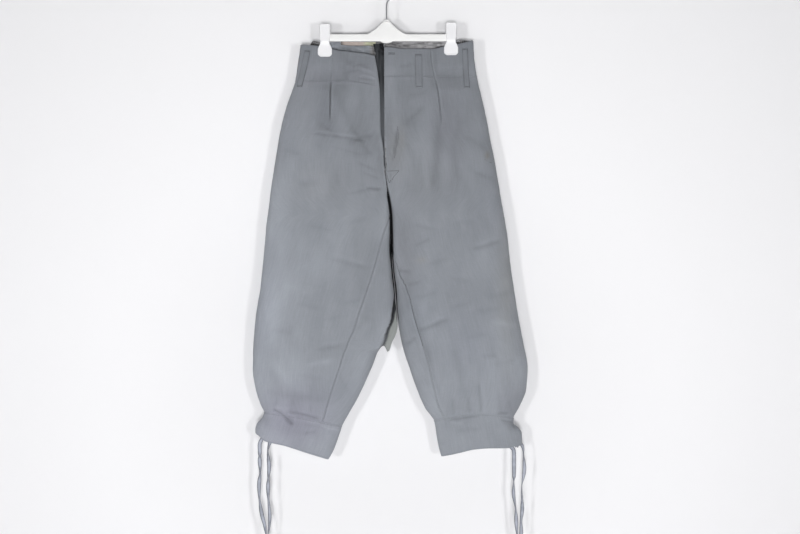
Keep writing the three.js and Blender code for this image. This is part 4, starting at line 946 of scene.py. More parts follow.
def spread(length, count, near=None, pull=0.0):
    """Shares from 0 to 1 of a length in millimetres, closer together at its ends and near a share."""
    fine = np.linspace(0, 1, 600)
    density = 1 + END_PULL * (bump(fine * length, END_REACH) + bump((1 - fine) * length, END_REACH))
    if near is not None:
        density += pull * bump((fine - near) * length, DART_REACH)
    total = np.concatenate([[0], np.cumsum((density[1:] + density[:-1]) / 2)])
    return np.interp(np.linspace(0, total[-1], count), total, fine)


def patch_grid(side, from_turn, to_turn, top, foot, rows, columns, dart):
    """The turns and stations of a piece's grid, drawn together at its edges and its pressed line."""
    at = np.full(columns, GUIDE_STATION)
    x_guess = cloth(side, mix(from_turn(at), to_turn(at), spread(GUIDE_WIDTH, columns)), at)[0][:, 0]
    top_mid, foot_mid = float(np.mean(top(x_guess))), float(np.mean(foot(x_guess)))
    turn, station = np.empty((rows, columns)), np.empty((rows, columns))
    for i, level in enumerate(spread(foot_mid - top_mid, rows)):
        rough = np.full(columns, mix(top_mid, foot_mid, level))
        start, end = from_turn(rough), to_turn(rough)
        probe = cloth(side, mix(start[0], end[0], np.linspace(0, 1, 60)), rough[0])[0]
        length = np.linalg.norm(np.diff(probe, axis=0), axis=1).sum()
        near, pull = None, 0.0
        if dart is not None and rough[0] < dart["drop"][-1] + DART_BELOW:
            way = 1 if dart is DARTS[(True, side)] else -1
            place = way * turn_at_x(side, rough[:1], read(dart, "drop", "x", rough[:1]))[0]
            near = (place - start[0]) / (end[0] - start[0])
            pull = DART_PULL * falling(rough[0], dart["drop"][-1] + DART_BELOW, DART_BELOW)
        shares = spread(length, columns, near, pull)
        x = cloth(side, mix(from_turn(at), to_turn(at), shares), at)[0][:, 0]
        station[i] = mix(top(x), foot(x), level)
        turn[i] = mix(from_turn(station[i]), to_turn(station[i]), shares)
    return turn, station


def run_along(places, axis):
    """How far each place of a grid is from its first row or column, along the surface."""
    steps = np.linalg.norm(np.diff(places, axis=axis), axis=2)
    return np.insert(np.cumsum(steps, axis), 0, 0, axis)


def lining_dye_and_shade(x, drop, height, seed):
    """The inner face's colour: a striped waist lining between plainer cloth, with painted shadow under the
    front's top edge and in the fly's slot, and painted shade in its folds and deeper down inside.
    """
    plain = rising(x, -146, 8) * falling(x, -34, 8)
    cloudy = 0.40 * noise(x / 20, drop / 4, seed + 5) + 0.40 * noise(x / 5, drop / 2.5, seed + 6)
    depth = 1 + cloudy * mix(1, 0.35, plain)
    stripes = 1 + np.cos(x * 2 * math.pi / LINING_STRIPE + drop / 3)
    depth = depth - 0.3 * stripes * rising(np.abs(x), 150, 8)
    # Painted shadow under the front's top edge, and in the slot at the top of the fly.
    depth = depth - 0.75 * bump(drop - read(FRONT_TOP, "x", "drop", x) + 1.5, 2.6)
    depth = depth - 0.62 * bump(x + 18, 13) * bump(drop - 18, 15)
    # Painted shade in the folds, and deeper down inside the waist.
    depth = depth + 0.08 * np.clip(-height, -3, 3) - 0.25 * rising(drop, 24, 30)
    dye_and_shade = mix(LINING, GREY_BLUE * 0.96, plain.reshape(-1, 1))
    return dye_and_shade * np.clip(depth, 0.12, 1.6).reshape(-1, 1)


def make_wall(name, outer, directions, wall, uv, colours, look="cloth"):
    """One sheet of cloth as a closed wall, in place of the node of its name, from its outer face, and the
    colours of its outer and inner faces."""
    points, quads, ring = shell(outer, directions, wall)
    colour, inside = colours
    dye_and_shade = np.concatenate([colour, inside, colour[ring]])
    piece = make_mesh(name, points, quads, (), look, np.concatenate([uv, uv, uv[ring]]), dye_and_shade)
    SKIN.append((points, quads))


def patch(name, side, from_turn, to_turn, top, foot, rows, columns, kinds, seed, dart=None, thick=0.0):
    """A piece of cloth between two edges round the section and two down the garment. kinds names its edges:
    the first turn's, the last turn's, the top's and the foot's. thick is how much thicker a hem is."""
    rows, columns = grid_count(rows), grid_count(columns)
    turn, station = patch_grid(side, from_turn, to_turn, top, foot, rows, columns, dart)
    base = cloth(side, turn, station)[0]
    away = outward(side, turn, station)
    turn = wrapped(turn)
    x, drop = base[..., 0], WAIST_LEVEL - base[..., 2]
    round_, down = run_along(base, 1), run_along(base, 0)
    to_edges = (round_, round_[:, -1:] - round_, down, down[-1:] - down)
    height = relief(side, turn, x, drop)
    calm = 1 - PINCH_CALM * clip_pinch(x, drop)
    thickness = np.full((rows, columns), WALL)
    for index, (kind, distance) in enumerate(zip(kinds, to_edges)):
        along = down if index < 2 else round_
        if kind != "free":
            height = height * mix(SEAM_LEAST, 1, rising(distance, 0, SEAM_REACH))
        height = height + edge_relief(kind, distance, along, seed + 13 * index) * calm
        if kind == "hem":
            thickness += thick * falling(distance, SEAM_REACH, 3)
    uv = np.stack([round_ - round_[:, columns // 2][:, None], down + drop[:1].mean()], -1).reshape(-1, 2)
    colour = (dye_and_shade_at(x, drop, half_front(turn), height, side) * GREY_BLUE).reshape(-1, 3)
    inside = lining_dye_and_shade(x, drop, height, seed)
    make_wall(name, base + away * height[..., None], away, thickness, uv, (colour, inside))


# Every sewn surface's points and quads, for the stitches to lie on.
SKIN = []


def level_of(edge, more=0.0):
    """A level that depends on x, as a function."""
    return lambda x: read(edge, "x", "drop", x) + more


def constant(value):
    """The same turn or level everywhere, as a function."""
    return lambda at: np.full(np.shape(at), float(value))


def right_fly_edge(station):
    free = turn_at_x("right", station, read(FLY_OPENING, "drop", "x", station))
    return np.where(station < FLY_FOOT, free, 1.0)


def front_inner(side):
    """The inner edge of a side's front: the fly above the crotch, and the inseam below it."""
    if side == "left":
        return lambda station: inseam_turn("left", station)
    return lambda station: np.where(
        np.asarray(station) > CROTCH, inseam_turn("right", station), right_fly_edge(station)
    )


def back_inner(side):
    return lambda station: inseam_turn(side, station) - 2


# How fine the cloth's grids are.
DETAIL = 1.0


def grid_count(value):
    return max(8, int(value * DETAIL))


# How far past the seam line a lapping piece reaches and the piece under it starts, and how much thicker
# each kind of hem is.
LAP_OVER, LAP_UNDER = 0.35, 0.15
BAND_HEM, LEG_HEM, CUFF_FOLD = 0.6, 0.4, 0.7
side_seam = constant(SEAM_TURN)
for number, cloth_side in enumerate(SIDES):
    seed = 400 + 100 * number
    cuff_top, cuff_hem = CUFF_TOP[cloth_side], CUFF_HEM[cloth_side]
    front_dart, back_dart = DARTS[(True, cloth_side)], DARTS[(False, cloth_side)]
    band_fly, leg_fly = ("free", "under") if cloth_side == "right" else ("hem", "hem")
    patch(f"waistband_front_{cloth_side}", cloth_side, side_seam, front_inner(cloth_side),
          level_of(FRONT_TOP), level_of(FRONT_SEAM, LAP_OVER), 54, 120,
          ("over", band_fly, "hem", "lapped"), seed, front_dart, BAND_HEM)
    patch(f"waistband_back_{cloth_side}", cloth_side, constant(-1), side_seam,
          level_of(BACK_TOP), level_of(BACK_SEAM, LAP_OVER), 54, 120,
          ("under", "under", "hem", "lapped"), seed + 1, back_dart, BAND_HEM)
    patch(f"front_{cloth_side}", cloth_side, side_seam, front_inner(cloth_side),
          level_of(FRONT_SEAM, LAP_UNDER), constant(cuff_top), 248, 112,
          ("over", leg_fly, "lap", "lap"), seed + 2, front_dart, LEG_HEM)
    patch(f"back_{cloth_side}", cloth_side, back_inner(cloth_side), side_seam,
          level_of(BACK_SEAM, LAP_UNDER), constant(cuff_top), 248, 124,
          ("over", "under", "lap", "lap"), seed + 3, back_dart)
    patch(f"cuff_{cloth_side}", cloth_side, constant(CUFF_SLIT["turn"] - 2 + CUFF_SLIT["half"]),
          constant(CUFF_SLIT["turn"] - CUFF_SLIT["half"]), constant(cuff_top - LAP_OVER), constant(cuff_hem),
          44, 210, ("hem", "hem", "lapped", "hem"), seed + 4, None, CUFF_FOLD)


# ---------- What is sewn on, and what shows inside the waist ----------
def on_seat(front, x, drop, side=None):
    """Places and outward directions of the front or back cloth at x and drop, in the seat."""
    x, drop = np.broadcast_arrays(np.asarray(x, float), np.asarray(drop, float))
    way = 1 if front else -1
    points, ways = np.empty((*x.shape, 3)), np.empty((*x.shape, 3))
    for here in SIDES:
        mask = (x < CENTRE_X) == (here == "right") if side is None else np.full(x.shape, here == side)
        turn = way * turn_at_x(here, drop, x)
        calm = np.clip(np.abs(turn), 0.05, 0.96) * way
        base = cloth(here, turn, drop)[0]
        out = outward(here, calm, drop)
        base = base + out * relief(here, calm, x, drop)[..., None]
        points[mask], ways[mask] = base[mask], out[mask]
    points[..., 0] = x
    points[..., 2] = WAIST_LEVEL - drop
    return points, ways


def strip(name, front, x_at, drop_at, rows, columns, lift, wall, tone, seed, side=None, tint=None,
          look="cloth"):
    """A flat strip that follows the seat's cloth, moved out from it by lift, or in, below 0."""
    rows, columns = grid_count(rows), grid_count(columns)
    down, across = np.meshgrid(np.linspace(0, 1, rows), np.linspace(0, 1, columns), indexing="ij")
    x, drop = x_at(across, down), drop_at(down)
    base, ways = on_seat(front, x, drop, side)
    outer = base + ways * (lift(across, down) + wall)[..., None]
    uv = np.stack([x - x.mean(), drop + 0 * x], -1).reshape(-1, 2)
    edge = np.minimum(across, 1 - across) * np.ptp(x[0])
    # Random tone, and painted shade along the strip's long edges.
    shade = 1 + 0.03 * noise(x / 9, drop / 14, seed) - 0.3 * bump(edge, 0.8)
    colour = shade[..., None] * tone
    if tint is not None:
        colour = colour * tint(x, drop)
    colour = colour.reshape(-1, 3)
    make_wall(name, outer, ways, wall, uv, (colour, colour * 0.9), look)


# Belt loops: side, front or back, x at the top and at the foot, drops of both, and width.
LOOPS = {
    "side_right": ("right", True, -181.8, -198.5, 22, 108, 12),
    "side_left": ("left", True, 180.4, 183.8, 17.5, 110.5, 12.6),
    "front_left": ("left", True, 73, 74.6, 32, 110, 15.4),
    "back": ("left", False, 10, 10, 12, 104, 14),
}
# How thick belt loops, the underlap and the facing are.
LOOP_WALL, UNDERLAP_WALL, FACING_WALL = 1.7, 1.5, 1.0


def loop_lift(across, down):
    """A belt loop is held down at both its ends, and sinks along its two rows of stitches."""
    rows = bump(np.abs(across - 0.5) - 0.33, 0.05)
    return 0.7 + 1.5 * rising(np.minimum(down, 1 - down), 0, 0.12) - 0.35 * rows


for number, (place, (loop_side, loop_front, top_x, foot_x, loop_top, loop_foot, wide)) in enumerate(
        LOOPS.items()):
    strip(
        f"belt_loop_{place}", loop_front,
        lambda across, down: mix(top_x, foot_x, down) + (across - 0.5) * wide,
        lambda down: mix(loop_top, loop_foot, down), 60, 20, loop_lift, LOOP_WALL, GREY_BLUE * 0.83,
        700 + number, loop_side,
    )

# The underlap's two edges, and how far in it lies at its outer edge and beyond its middle.
UNDERLAP = table(
    "drop right left", (7, -31, -7.5), (13, -29.5, -7.2), (20, -27.5, 8), (34, -24.5, 22), (60, -38, 22),
    (294, -38, 22),
)
UNDERLAP_LIFT = (-5.6, -8.4)
# The facing's ends, its top and foot, how far in it lies, and its stain's tint.
FACING_X, FACING_DROP, FACING_LIFT = (-106, -25), (-0.8, 8), -3.96
FACING_STAIN = np.array((0.95, 1.12, 0.88))


def underlap_drop(down):
    return mix(UNDERLAP["drop"][0], UNDERLAP["drop"][-1], down)


def underlap_x(across, down):
    right, left = (read(UNDERLAP, "drop", column, underlap_drop(down)) for column in ("right", "left"))
    return mix(right, left, across)


def underlap_painted_shade(x, drop):
    """The underlap's painted shade, darkest at its top, with uneven streaks."""
    tint = mix(0.17, 0.42, rising(drop, 60, 110)) + 0.10 * noise(x / 2.5, drop / 30, 77)
    tint = tint + 0.07 * falling(drop, 30, 6) * noise(x / 3, drop / 4, 78)
    return (tint - 0.10 * falling(drop, 36, 6) * rising(x, -15, 3))[..., None]


def facing_tint(x, drop):
    """The facing is darker at its outer end and its foot, and greener towards the centre."""
    shade = mix(0.45, 1, rising(x, FACING_X[0], 9)) * mix(1, 0.5, rising(drop, 6.5, 0.8))
    return shade[..., None] * mix(np.ones(3), FACING_STAIN, rising(x, -58, 14)[..., None])


# The fly's underlap, painted dark as the shade in the fly's slot.
strip(
    "fly_underlap", True, underlap_x, underlap_drop, 120, 30,
    lambda across, down: mix(*UNDERLAP_LIFT, rising(across, 0, 0.5)), UNDERLAP_WALL, GREY_BLUE * 0.86, 720,
    tint=underlap_painted_shade,
)
strip(
    "waist_facing", False, lambda across, down: mix(*FACING_X, across), lambda down: mix(*FACING_DROP, down),
    16, 60, lambda across, down: np.full(across.shape, FACING_LIFT), FACING_WALL, TAN, 730, "right",
    facing_tint, "facing",
)


def turned(name, profile, place, axis, look):
    """A round piece: radius and height pairs, turned about an axis."""
    radius, height = np.array(profile, float).T
    angle = np.linspace(0, 2 * math.pi, 48, endpoint=False)
    rings = np.stack([
        radius[:, None] * np.cos(angle), radius[:, None] * np.sin(angle), height[:, None] + 0 * angle,
    ], -1)
    turn = np.array(Vector((0, 0, 1)).rotation_difference(Vector(axis)).to_matrix())
    points, quads, caps = loft(rings @ turn.T + np.array(place))
    make_mesh(name, points, quads, caps, look, sharp=35)


# How far under the fly's edge the button's middle lies.
BUTTON_UNDER = 3.4
button_place, button_way = on_seat(True, 12.0, 31.0, "left")
turned("waist_button", (
    (0.5, -0.9), (6.8, -0.9), (7.7, -0.5), (8, 0.1), (7.6, 0.8), (6.9, 1), (6.2, 0.8), (5.4, 0.55),
    (0.5, 0.5),
), button_place - button_way * BUTTON_UNDER, button_way, "button")

# ---------- Sewing ----------
# A stitch: how far apart, half its length, half its width and its height. Then the same for a bar tack's,
# for a strong thread's and for the wide bars of a ladder.
STITCH = {"pitch": 3.3, "half": 1.3, "wide": 0.27, "high": 0.30}
TACK = {"pitch": 0.75, "half": 1.1, "wide": 0.30, "high": 0.36}
STRONG = {"pitch": 2.5, "half": 1.25, "wide": 0.55, "high": 0.36}
LADDER = {"pitch": 6, "half": 4, "wide": 0.40, "high": 0.30}
# Thread tones: the inseam's and the loop gap's are painted shade, and the tacks' tone also paints the shade
# in a fold.
SEWN_TONE, TACK_AND_FOLD_SHADE_TONE, LOOP_GAP_SHADOW_TONE, PALE_TONE, INSEAM_SHADE_TONE, CORNER_TONE = 0.66, 0.42, 0.45, 1.12, 0.4, 0.3
# The rows of stitches: their places, their two directions, tone and kind.
sewn = []


def skin_tree():
    """A search tree over every sewn cloth surface."""
    points, quads, start = [], [], 0
    for piece_points, piece_quads in SKIN:
        points.append(piece_points)
        quads.append(piece_quads + start)
        start += len(piece_points)
    return BVHTree.FromPolygons(np.concatenate(points).tolist(), np.concatenate(quads).tolist())


def sew(side, turns, stations, tone=SEWN_TONE, kind=STITCH, crossed=False):
    """Stitches along a line on the cloth, or crossed ones side by side, as in a bar tack."""
    turns, stations = np.broadcast_arrays(np.asarray(turns, float), np.asarray(stations, float))
    line = cloth(side, turns, stations)[0]
    run = np.concatenate([[0], np.cumsum(np.linalg.norm(np.diff(line, axis=0), axis=1))])
    places = np.arange(kind["pitch"] / 2, run[-1], kind["pitch"])
    turn, station = np.interp(places, run, turns), np.interp(places, run, stations)
    ways = outward(side, turn, station)
    found = []
    for place in cloth(side, turn, station)[0] + ways * 3:
        found.append(tuple(SKIN_TREE.find_nearest(Vector(place))[0]))
    middle = np.array(found)
    along = unit(np.gradient(middle, axis=0)) if len(middle) > 1 else unit(np.diff(line[[0, -1]], axis=0))
    sewn.append((middle, unit(np.cross(along, ways)) if crossed else along, ways, tone, kind))


def stitch_mesh():
    """Every stitch as a small thread that dips into the cloth at both its ends."""
    place, size, lift = np.array([(-1, 0.5, -0.5), (-0.5, 1, 0.35), (0.5, 1, 0.35), (1, 0.5, -0.5)]).T
    sides = 5
    angle = np.linspace(0, 2 * math.pi, sides, endpoint=False)
    sideways, upward = size[:, None] * np.cos(angle), size[:, None] * np.sin(angle) + lift[:, None]
    points, tones = [], []
    for middle, along, ways, tone, kind in sewn:
        across = unit(np.cross(ways, along))
        up = unit(np.cross(along, across))
        ring = (
            middle[:, None, None]
            + along[:, None, None] * (place * kind["half"])[None, :, None, None]
            + across[:, None, None] * (sideways * kind["wide"])[None, :, :, None]
            + up[:, None, None] * (upward * kind["high"])[None, :, :, None]
        )
        points.append(ring.reshape(-1, 3))
        tones.append(np.full(ring[..., 0].size, tone))
    points, tones = np.concatenate(points), np.concatenate(tones)
    one, one_quads, one_caps = loft(np.zeros((len(place), sides, 3)))
    start = np.arange(0, len(points), len(one))[:, None, None]
    quads = (one_quads[None] + start).reshape(-1, 4)
    caps = (np.array(one_caps)[None] + start).reshape(-1, sides)
    uv = np.stack([points[:, 0], points[:, 2]], 1)
    make_mesh("stitches", points, quads, caps, "thread", uv, tones[:, None] * GREY_BLUE, nodes=())


def beside(side, turn, station, distance):
    """The turn that is so many millimetres round the section from another."""
    step = 0.01
    reach = cloth(side, turn + step, station)[0] - cloth(side, turn - step, station)[0]
    return turn + distance * 2 * step / np.maximum(np.linalg.norm(reach, axis=-1), 1)


def sew_level(side, start, end, level):
    """A line round the garment, at a level that depends on x."""
    turns = np.linspace(start, end, 160)
    sew(side, turns, level(cloth(side, turns, GUIDE_STATION)[0][:, 0]))


def sew_seam(side, turn_of, from_station, to_station, distance, **more):
    stations = np.linspace(from_station, to_station, 200)
    sew(side, beside(side, turn_of(stations), stations, distance), stations, **more)


def sew_drawn(side, places, front=True, **more):
    """A line through places given as x and drop, on the seat's front or back."""
    x, drop, _ = curve([(x, drop, 0) for x, drop in places], 60)[0].T
    sew(side, turn_at_x(side, drop, x) * (1 if front else -1), drop, **more)


SKIN_TREE = skin_tree()
# How far rows of stitches lie from an edge or a seam, and how far they stop short of a slit.
HEM_ROW, SEAM_ROW, SLIT_ROW = 2.4, 1.8, 0.015
for sewn_side in SIDES:
    for is_front, waist_top, waist_seam in ((True, FRONT_TOP, FRONT_SEAM), (False, BACK_TOP, BACK_SEAM)):
        last = 0.985 if is_front else -0.985
        if is_front and sewn_side == "right":
            last = float(right_fly_edge(np.array([GUIDE_STATION]))[0]) - 0.01
        sew_level(sewn_side, 0.0, last, level_of(waist_top, HEM_ROW))
        sew_level(sewn_side, 0.0, last, level_of(waist_seam, -SEAM_ROW))
    cuff_top, cuff_hem = CUFF_TOP[sewn_side], CUFF_HEM[sewn_side]
    sew_seam(sewn_side, side_seam, 14, cuff_top - 3, -2)
    sew_seam(sewn_side, lambda at: inseam_turn(sewn_side, at), CROTCH + 30, cuff_top - 3, -SEAM_ROW)
    sew_seam(sewn_side, constant(-1), 12, CROTCH - 8, 2)
    round_cuff = np.linspace(CUFF_SLIT["turn"] - 2 + SLIT_ROW, CUFF_SLIT["turn"] - SLIT_ROW, 300)
    for cuff_station in (cuff_top + 1.9, cuff_hem - 2.6):
        sew(sewn_side, round_cuff, cuff_station)
    for slit_turn in (round_cuff[0], round_cuff[-1]):
        sew(sewn_side, slit_turn, np.linspace(cuff_top + 3, cuff_hem - 3, 30))
sew_seam("right", right_fly_edge, 38, FLY_FOOT - 12, -2.2)
sew_seam("left", constant(1), 18, 296, -HEM_ROW)
# The fly's curved row of stitches, a dark thread line along the inseam as painted shade, a dark thread
# line as painted shade in the fold beside the fly, and the tack at its foot.
sew_drawn("left", [(36, 90), (36.5, 150), (36, 215), (34, 254), (27, 280), (14, 298), (2, 306)])
sew_seam("left", lambda at: inseam_turn("left", at), 505, 700, 0.3, tone=INSEAM_SHADE_TONE, kind=STRONG)
sew_drawn("left", ((26, 199), (22.5, 236), (17, 272)), tone=TACK_AND_FOLD_SHADE_TONE, kind=STRONG)
for corner in (((-1, 301), (29, 300)), ((-1, 301), (7, 328)), ((29, 300), (7, 328))):
    sew_drawn("left", corner, tone=CORNER_TONE, kind=STRONG)
# A pocket's end: a worn row of stitches at the left hip, and a faint ladder of them at the right one.
sew_drawn("left", ((225, 274), (233, 277.5), (241.5, 281)))
for dark_end in (((224, 273.6), (226.6, 274.6)), ((235.4, 279.4), (242, 281))):
    sew_drawn("left", dark_end, tone=TACK_AND_FOLD_SHADE_TONE, kind=STRONG)
sew_drawn("right", ((-224.5, 257), (-225.5, 285)), tone=PALE_TONE, kind=LADDER, crossed=True)
for hole_drop in (29.6, 32.4):
    sew_drawn("left", ((4, hole_drop), (20, hole_drop)), tone=TACK_AND_FOLD_SHADE_TONE, kind=TACK, crossed=True)
for place, (loop_side, loop_front, top_x, foot_x, loop_top, loop_foot, wide) in LOOPS.items():
    for edge in (-1, 1):
        shift = edge * (wide / 2 - 2)
        ends = ((top_x + shift, loop_top + 5), (foot_x + shift, loop_foot - 5))
        sew_drawn(loop_side, ends, loop_front)
    for x, drop in ((top_x, loop_top + 2.6), (foot_x, loop_foot - 2.6)):
        ends = ((x - wide / 2 + 1, drop), (x + wide / 2 - 1, drop))
        sew_drawn(loop_side, ends, loop_front, tone=TACK_AND_FOLD_SHADE_TONE, kind=TACK, crossed=True)
    # A dark thread line along a side loop's edge: painted shadow in the gap beside the loop.
    if place.startswith("side"):
        shift = wide / 2 - 0.5
        ends = ((top_x + shift, loop_top + 4), (foot_x + shift, loop_foot - 1))
        sew_drawn(loop_side, ends, loop_front, tone=LOOP_GAP_SHADOW_TONE, kind=STRONG)
stitch_mesh()


# ---------- Hanger ----------
def bezier(start, pull, push, end, count):
    t = np.linspace(0, 1, count)[:, None]
    start, pull, push, end = (np.array(p, float) for p in (start, pull, push, end))
    return (1 - t) ** 3 * start + 3 * (1 - t) ** 2 * t * pull + 3 * (1 - t) * t**2 * push + t**3 * end


# The bar's ends, its top and foot, half its thickness and how far its edges are rounded.
BAR_LEFT, BAR_RIGHT, BAR_TOP, BAR_FOOT = -150, 157, -124, -140.4
BAR_HALF, BAR_BEVEL = 3.4, 1.1
# The bar rises to the collar within BELL_HALF of its middle, and bows down under it within CRESCENT_HALF.
BELL_HALF, CRESCENT_HALF = 45, 14


def bar_outline():
    """The bar's x and z, round from the left end of its foot, anticlockwise from the front."""
    low_left, low_right = (-CRESCENT_HALF, BAR_FOOT), (CRESCENT_HALF, BAR_FOOT)
    crescent = bezier(low_left, (-8, -146.4), (8, -146.4), low_right, 15)
    bell = bezier((BELL_HALF, BAR_TOP), (27, -117), (16, -103), (8, -96), 17)
    return np.array([
        *np.linspace((BAR_LEFT, BAR_FOOT), low_left, 24), *crescent[1:],
        *np.linspace(low_right, (BAR_RIGHT, BAR_FOOT), 24)[1:],
        *np.linspace((BAR_RIGHT, BAR_TOP), (BELL_HALF, BAR_TOP), 20), *bell[1:],
        *(bell * (-1, 1))[::-1], *np.linspace((-BELL_HALF, BAR_TOP), (BAR_LEFT, BAR_TOP), 20)[1:],
    ])


def make_bar():
    """The hanger's bar: a flat moulded plate with rounded edges."""
    outline = bar_outline()
    along = unit(np.roll(outline, -1, 0) - np.roll(outline, 1, 0))
    inward = np.stack([-along[:, 1], along[:, 0]], 1)
    sections = [
        (BAR_BEVEL * (1 - math.cos(s)) - BAR_HALF, BAR_BEVEL * (1 - math.sin(s)))
        for s in np.linspace(0, math.pi / 2, 5)
    ]
    sections += [(-y, inset) for y, inset in sections[::-1]]
    rings = []
    for y, inset in sections:
        flat = outline + inward * inset
        rings.append(np.stack([flat[:, 0], np.full(len(flat), y), flat[:, 1]], 1))
    points, quads, caps = loft(np.array(rings))
    make_mesh("hanger_bar", points, quads, caps, "bar", sharp=40)


# The loop's radius at the wire's middle, the wire's own, its steps and its radii at the rounded end.
HOOK_RADIUS, WIRE_RADIUS, WIRE_STEPS = 22, 1.6, 150
WIRE_END = (1.55, 1.4, 1.1, 0.6)


def make_hook():
    """The wire hook: a straight shank that leans over into an open loop, rounded off at its free end."""
    shank = [(0, 0, z) for z in (-90.6, -74, -60)] + [(1.6, 0, -50.5), (6.6, 0, -43.5)]
    loop_angles = np.radians([-50, -25, 0, 30, 60, 90, 120, 150, 180, 198])
    centre_z = WIRE_RADIUS - HOOK_RADIUS
    loop = [(HOOK_RADIUS * math.cos(a), 0, centre_z + HOOK_RADIUS * math.sin(a)) for a in loop_angles]
    middle, along = curve(shank + loop, WIRE_STEPS)
    angle = np.linspace(0, 2 * math.pi, 18, endpoint=False)
    across = np.array((0.0, 1.0, 0.0))
    up = unit(np.cross(along, across))
    radius = np.full(WIRE_STEPS, WIRE_RADIUS)
    radius[-len(WIRE_END):] = WIRE_END
    rings = middle[:, None] + radius[:, None, None] * (
        np.cos(angle)[None, :, None] * across + np.sin(angle)[None, :, None] * up[:, None]
    )
    points, quads, caps = loft(rings)
    make_mesh("hanger_hook", points, quads, caps, "wire")


make_bar()
make_hook()
turned("hanger_collar", (
    (1.7, -95.7), (7.4, -95.7), (8, -95.2), (8, -93.2), (7.6, -92.4), (5.8, -91.2), (5.2, -91), (1.7, -91),
), (0, 0, 0), (0, 0, 1), "bar")

CLIP_OUTLINE = table(
    "above half inner", (0, 10, 2.4), (3, 14.5, 2.4), (7, 16.4, 2.4), (16, 16.4, 2.4), (24, 14, 2.5),
    (31, 10.8, 3.2), (36, 10.5, 4), (41, 12, 4), (54, 12, 4), (72, 12, 4), (75, 10, 4),
)
CLIP_TALL = CLIP_OUTLINE["above"][-1]
# A jaw is this thick at its raised rim, this much thinner inside it, and stands this far off.
JAW_THICK, JAW_HOLLOW, JAW_OFF = 2.6, 0.7, 0.3


def make_jaw(side, face):
    """One jaw of a clip: a waisted plate with a raised rim, standing off where the bar runs through."""
    way = -1 if face == "front" else 1
    rows, columns = 90, 34
    above = np.linspace(0, CLIP_TALL, rows)[:, None]
    share = np.linspace(-1, 1, columns)[None]
    half = read(CLIP_OUTLINE, "above", "half", above)
    inner = read(CLIP_OUTLINE, "above", "inner", above)
    from_rim = np.minimum(half * (1 - np.abs(share)), np.minimum(above, CLIP_TALL - above) + 0 * share)
    crown = JAW_THICK - bump(from_rim, 0.8) - JAW_HOLLOW * rising(from_rim, 1.8, 0.9)
    outer = np.stack(np.broadcast_arrays(
        CLIP_X[side] + share * half, way * (inner + crown + JAW_OFF), CLIP_FOOT[side] + above,
    ), -1)
    ways = np.zeros_like(outer)
    ways[..., 1] = way
    points, quads, _ = shell(outer, ways, crown)
    make_mesh(f"clip_{side}_{face}", points, quads, (), "clip", sharp=50)


for clip_side in SIDES:
    for jaw_face in ("front", "back"):
        make_jaw(clip_side, jaw_face)


# ---------- Wall, floor and light ----------
def paint(name, colour):
    """Pale paint, painted greyer behind the garment and paler away from it to even out the lights' brighter
    middle, and clear from behind so that the garment shows.
    """
    material, tree, shader = new_material(name, MATT, 0.1)
    where = node(tree, "ShaderNodeTexCoord").outputs["Object"]
    away = node(tree, "ShaderNodeVectorMath", {0: where, 1: (0, 0, -0.95)}, operation="DISTANCE")
    painted_light_evening = node(tree, "ShaderNodeMapRange", {
        "Value": away.outputs["Value"], "From Min": 0.25, "From Max": 0.72, "To Min": 0.935, "To Max": 1.02,
    }, interpolation_type="SMOOTHSTEP").outputs[0]
    tree.links.new(scaled_colour(tree, painted_light_evening, colour), shader.inputs["Base Color"])
    back = node(tree, "ShaderNodeNewGeometry").outputs["Backfacing"]
    clear = node(tree, "ShaderNodeBsdfTransparent")
    both = node(tree, "ShaderNodeMixShader", {0: back, 1: shader.outputs[0], 2: clear.outputs[0]})
    tree.links.new(both.outputs[0], tree.nodes["Material Output"].inputs[0])
    return material


# The stage, in metres: half its width, its floor, and its wall's top and y.
STAGE_HALF, FLOOR_LEVEL, WALL_TOP, WALL_Y = 4, -1.5, 2.2, 0.078


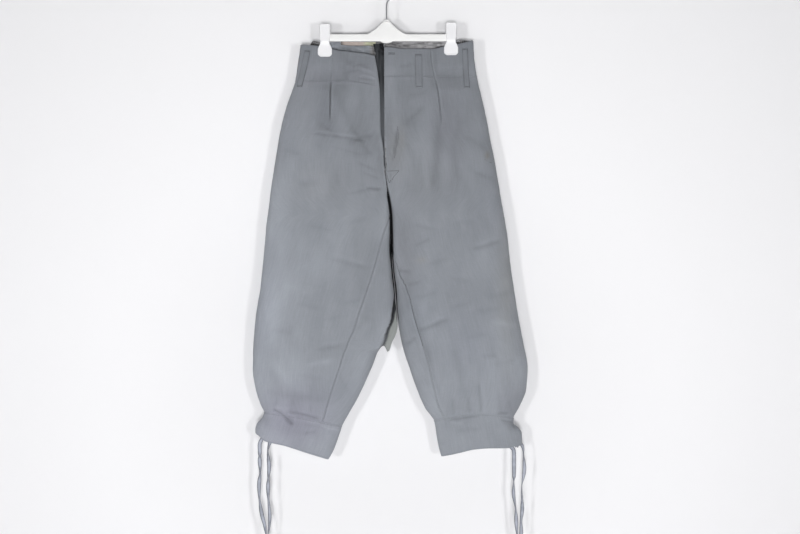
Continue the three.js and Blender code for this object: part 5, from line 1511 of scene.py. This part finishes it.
def flat_stage(name, near, far, colour):
    """A flat square of the stage, from its near edge to its far edge, each a y and a z."""
    corners = [(-STAGE_HALF, *near), (STAGE_HALF, *near), (STAGE_HALF, *far), (-STAGE_HALF, *far)]
    mesh = bpy.data.meshes.new(name)
    mesh.from_pydata(corners, [], [(0, 1, 2, 3)])
    mesh.materials.append(paint(f"{name}_paint", colour))
    piece = bpy.data.objects.new(name, mesh)
    bpy.context.scene.collection.objects.link(piece)
    return piece


wall = flat_stage("wall", (WALL_Y, FLOOR_LEVEL), (WALL_Y, WALL_TOP), (0.855, 0.852, 0.864))
wall.visible_shadow = False
flat_stage("floor", (-STAGE_HALF, FLOOR_LEVEL), (STAGE_HALF, FLOOR_LEVEL), (0.86, 0.86, 0.87))

world = bpy.data.worlds.new("studio")
world.use_nodes = True
world.node_tree.nodes["Background"].inputs["Color"].default_value = (0.97, 0.98, 1, 1)
world.node_tree.nodes["Background"].inputs["Strength"].default_value = 0.12
bpy.context.scene.world = world

# Soft lights, in metres, all aimed at the garment's middle: place, size, power and spread in degrees.
LIGHT_AIM = Vector((0, 0, -0.65))
LIGHTS = {
    "light_front": ((0.0, -3.6, -1.1), (0.4, 0.25), 61.5, 180),
    "light_left": ((-0.95, -2.9, -0.8), (0.25, 0.25), 19.5, 180),
    "light_right": ((0.85, -2.9, -0.8), (0.25, 0.25), 17.3, 180),
    "light_back_left": ((-1.3, 3.2, -0.5), (0.8, 0.8), 1.6, 36),
    "light_back_right": ((1.6, 3.3, -0.6), (0.8, 0.8), 1.1, 36),
}
for light_name, (light_place, light_size, power, spread_angle) in LIGHTS.items():
    lamp = bpy.data.lights.new(light_name, "AREA")
    lamp.shape = "RECTANGLE"
    lamp.size, lamp.size_y = light_size
    lamp.energy = power
    lamp.spread = math.radians(spread_angle)
    light = bpy.data.objects.new(light_name, lamp)
    light.location = light_place
    light.rotation_euler = (LIGHT_AIM - Vector(light_place)).to_track_quat("-Z", "Y").to_euler()
    light.visible_camera = False
    bpy.context.scene.collection.objects.link(light)
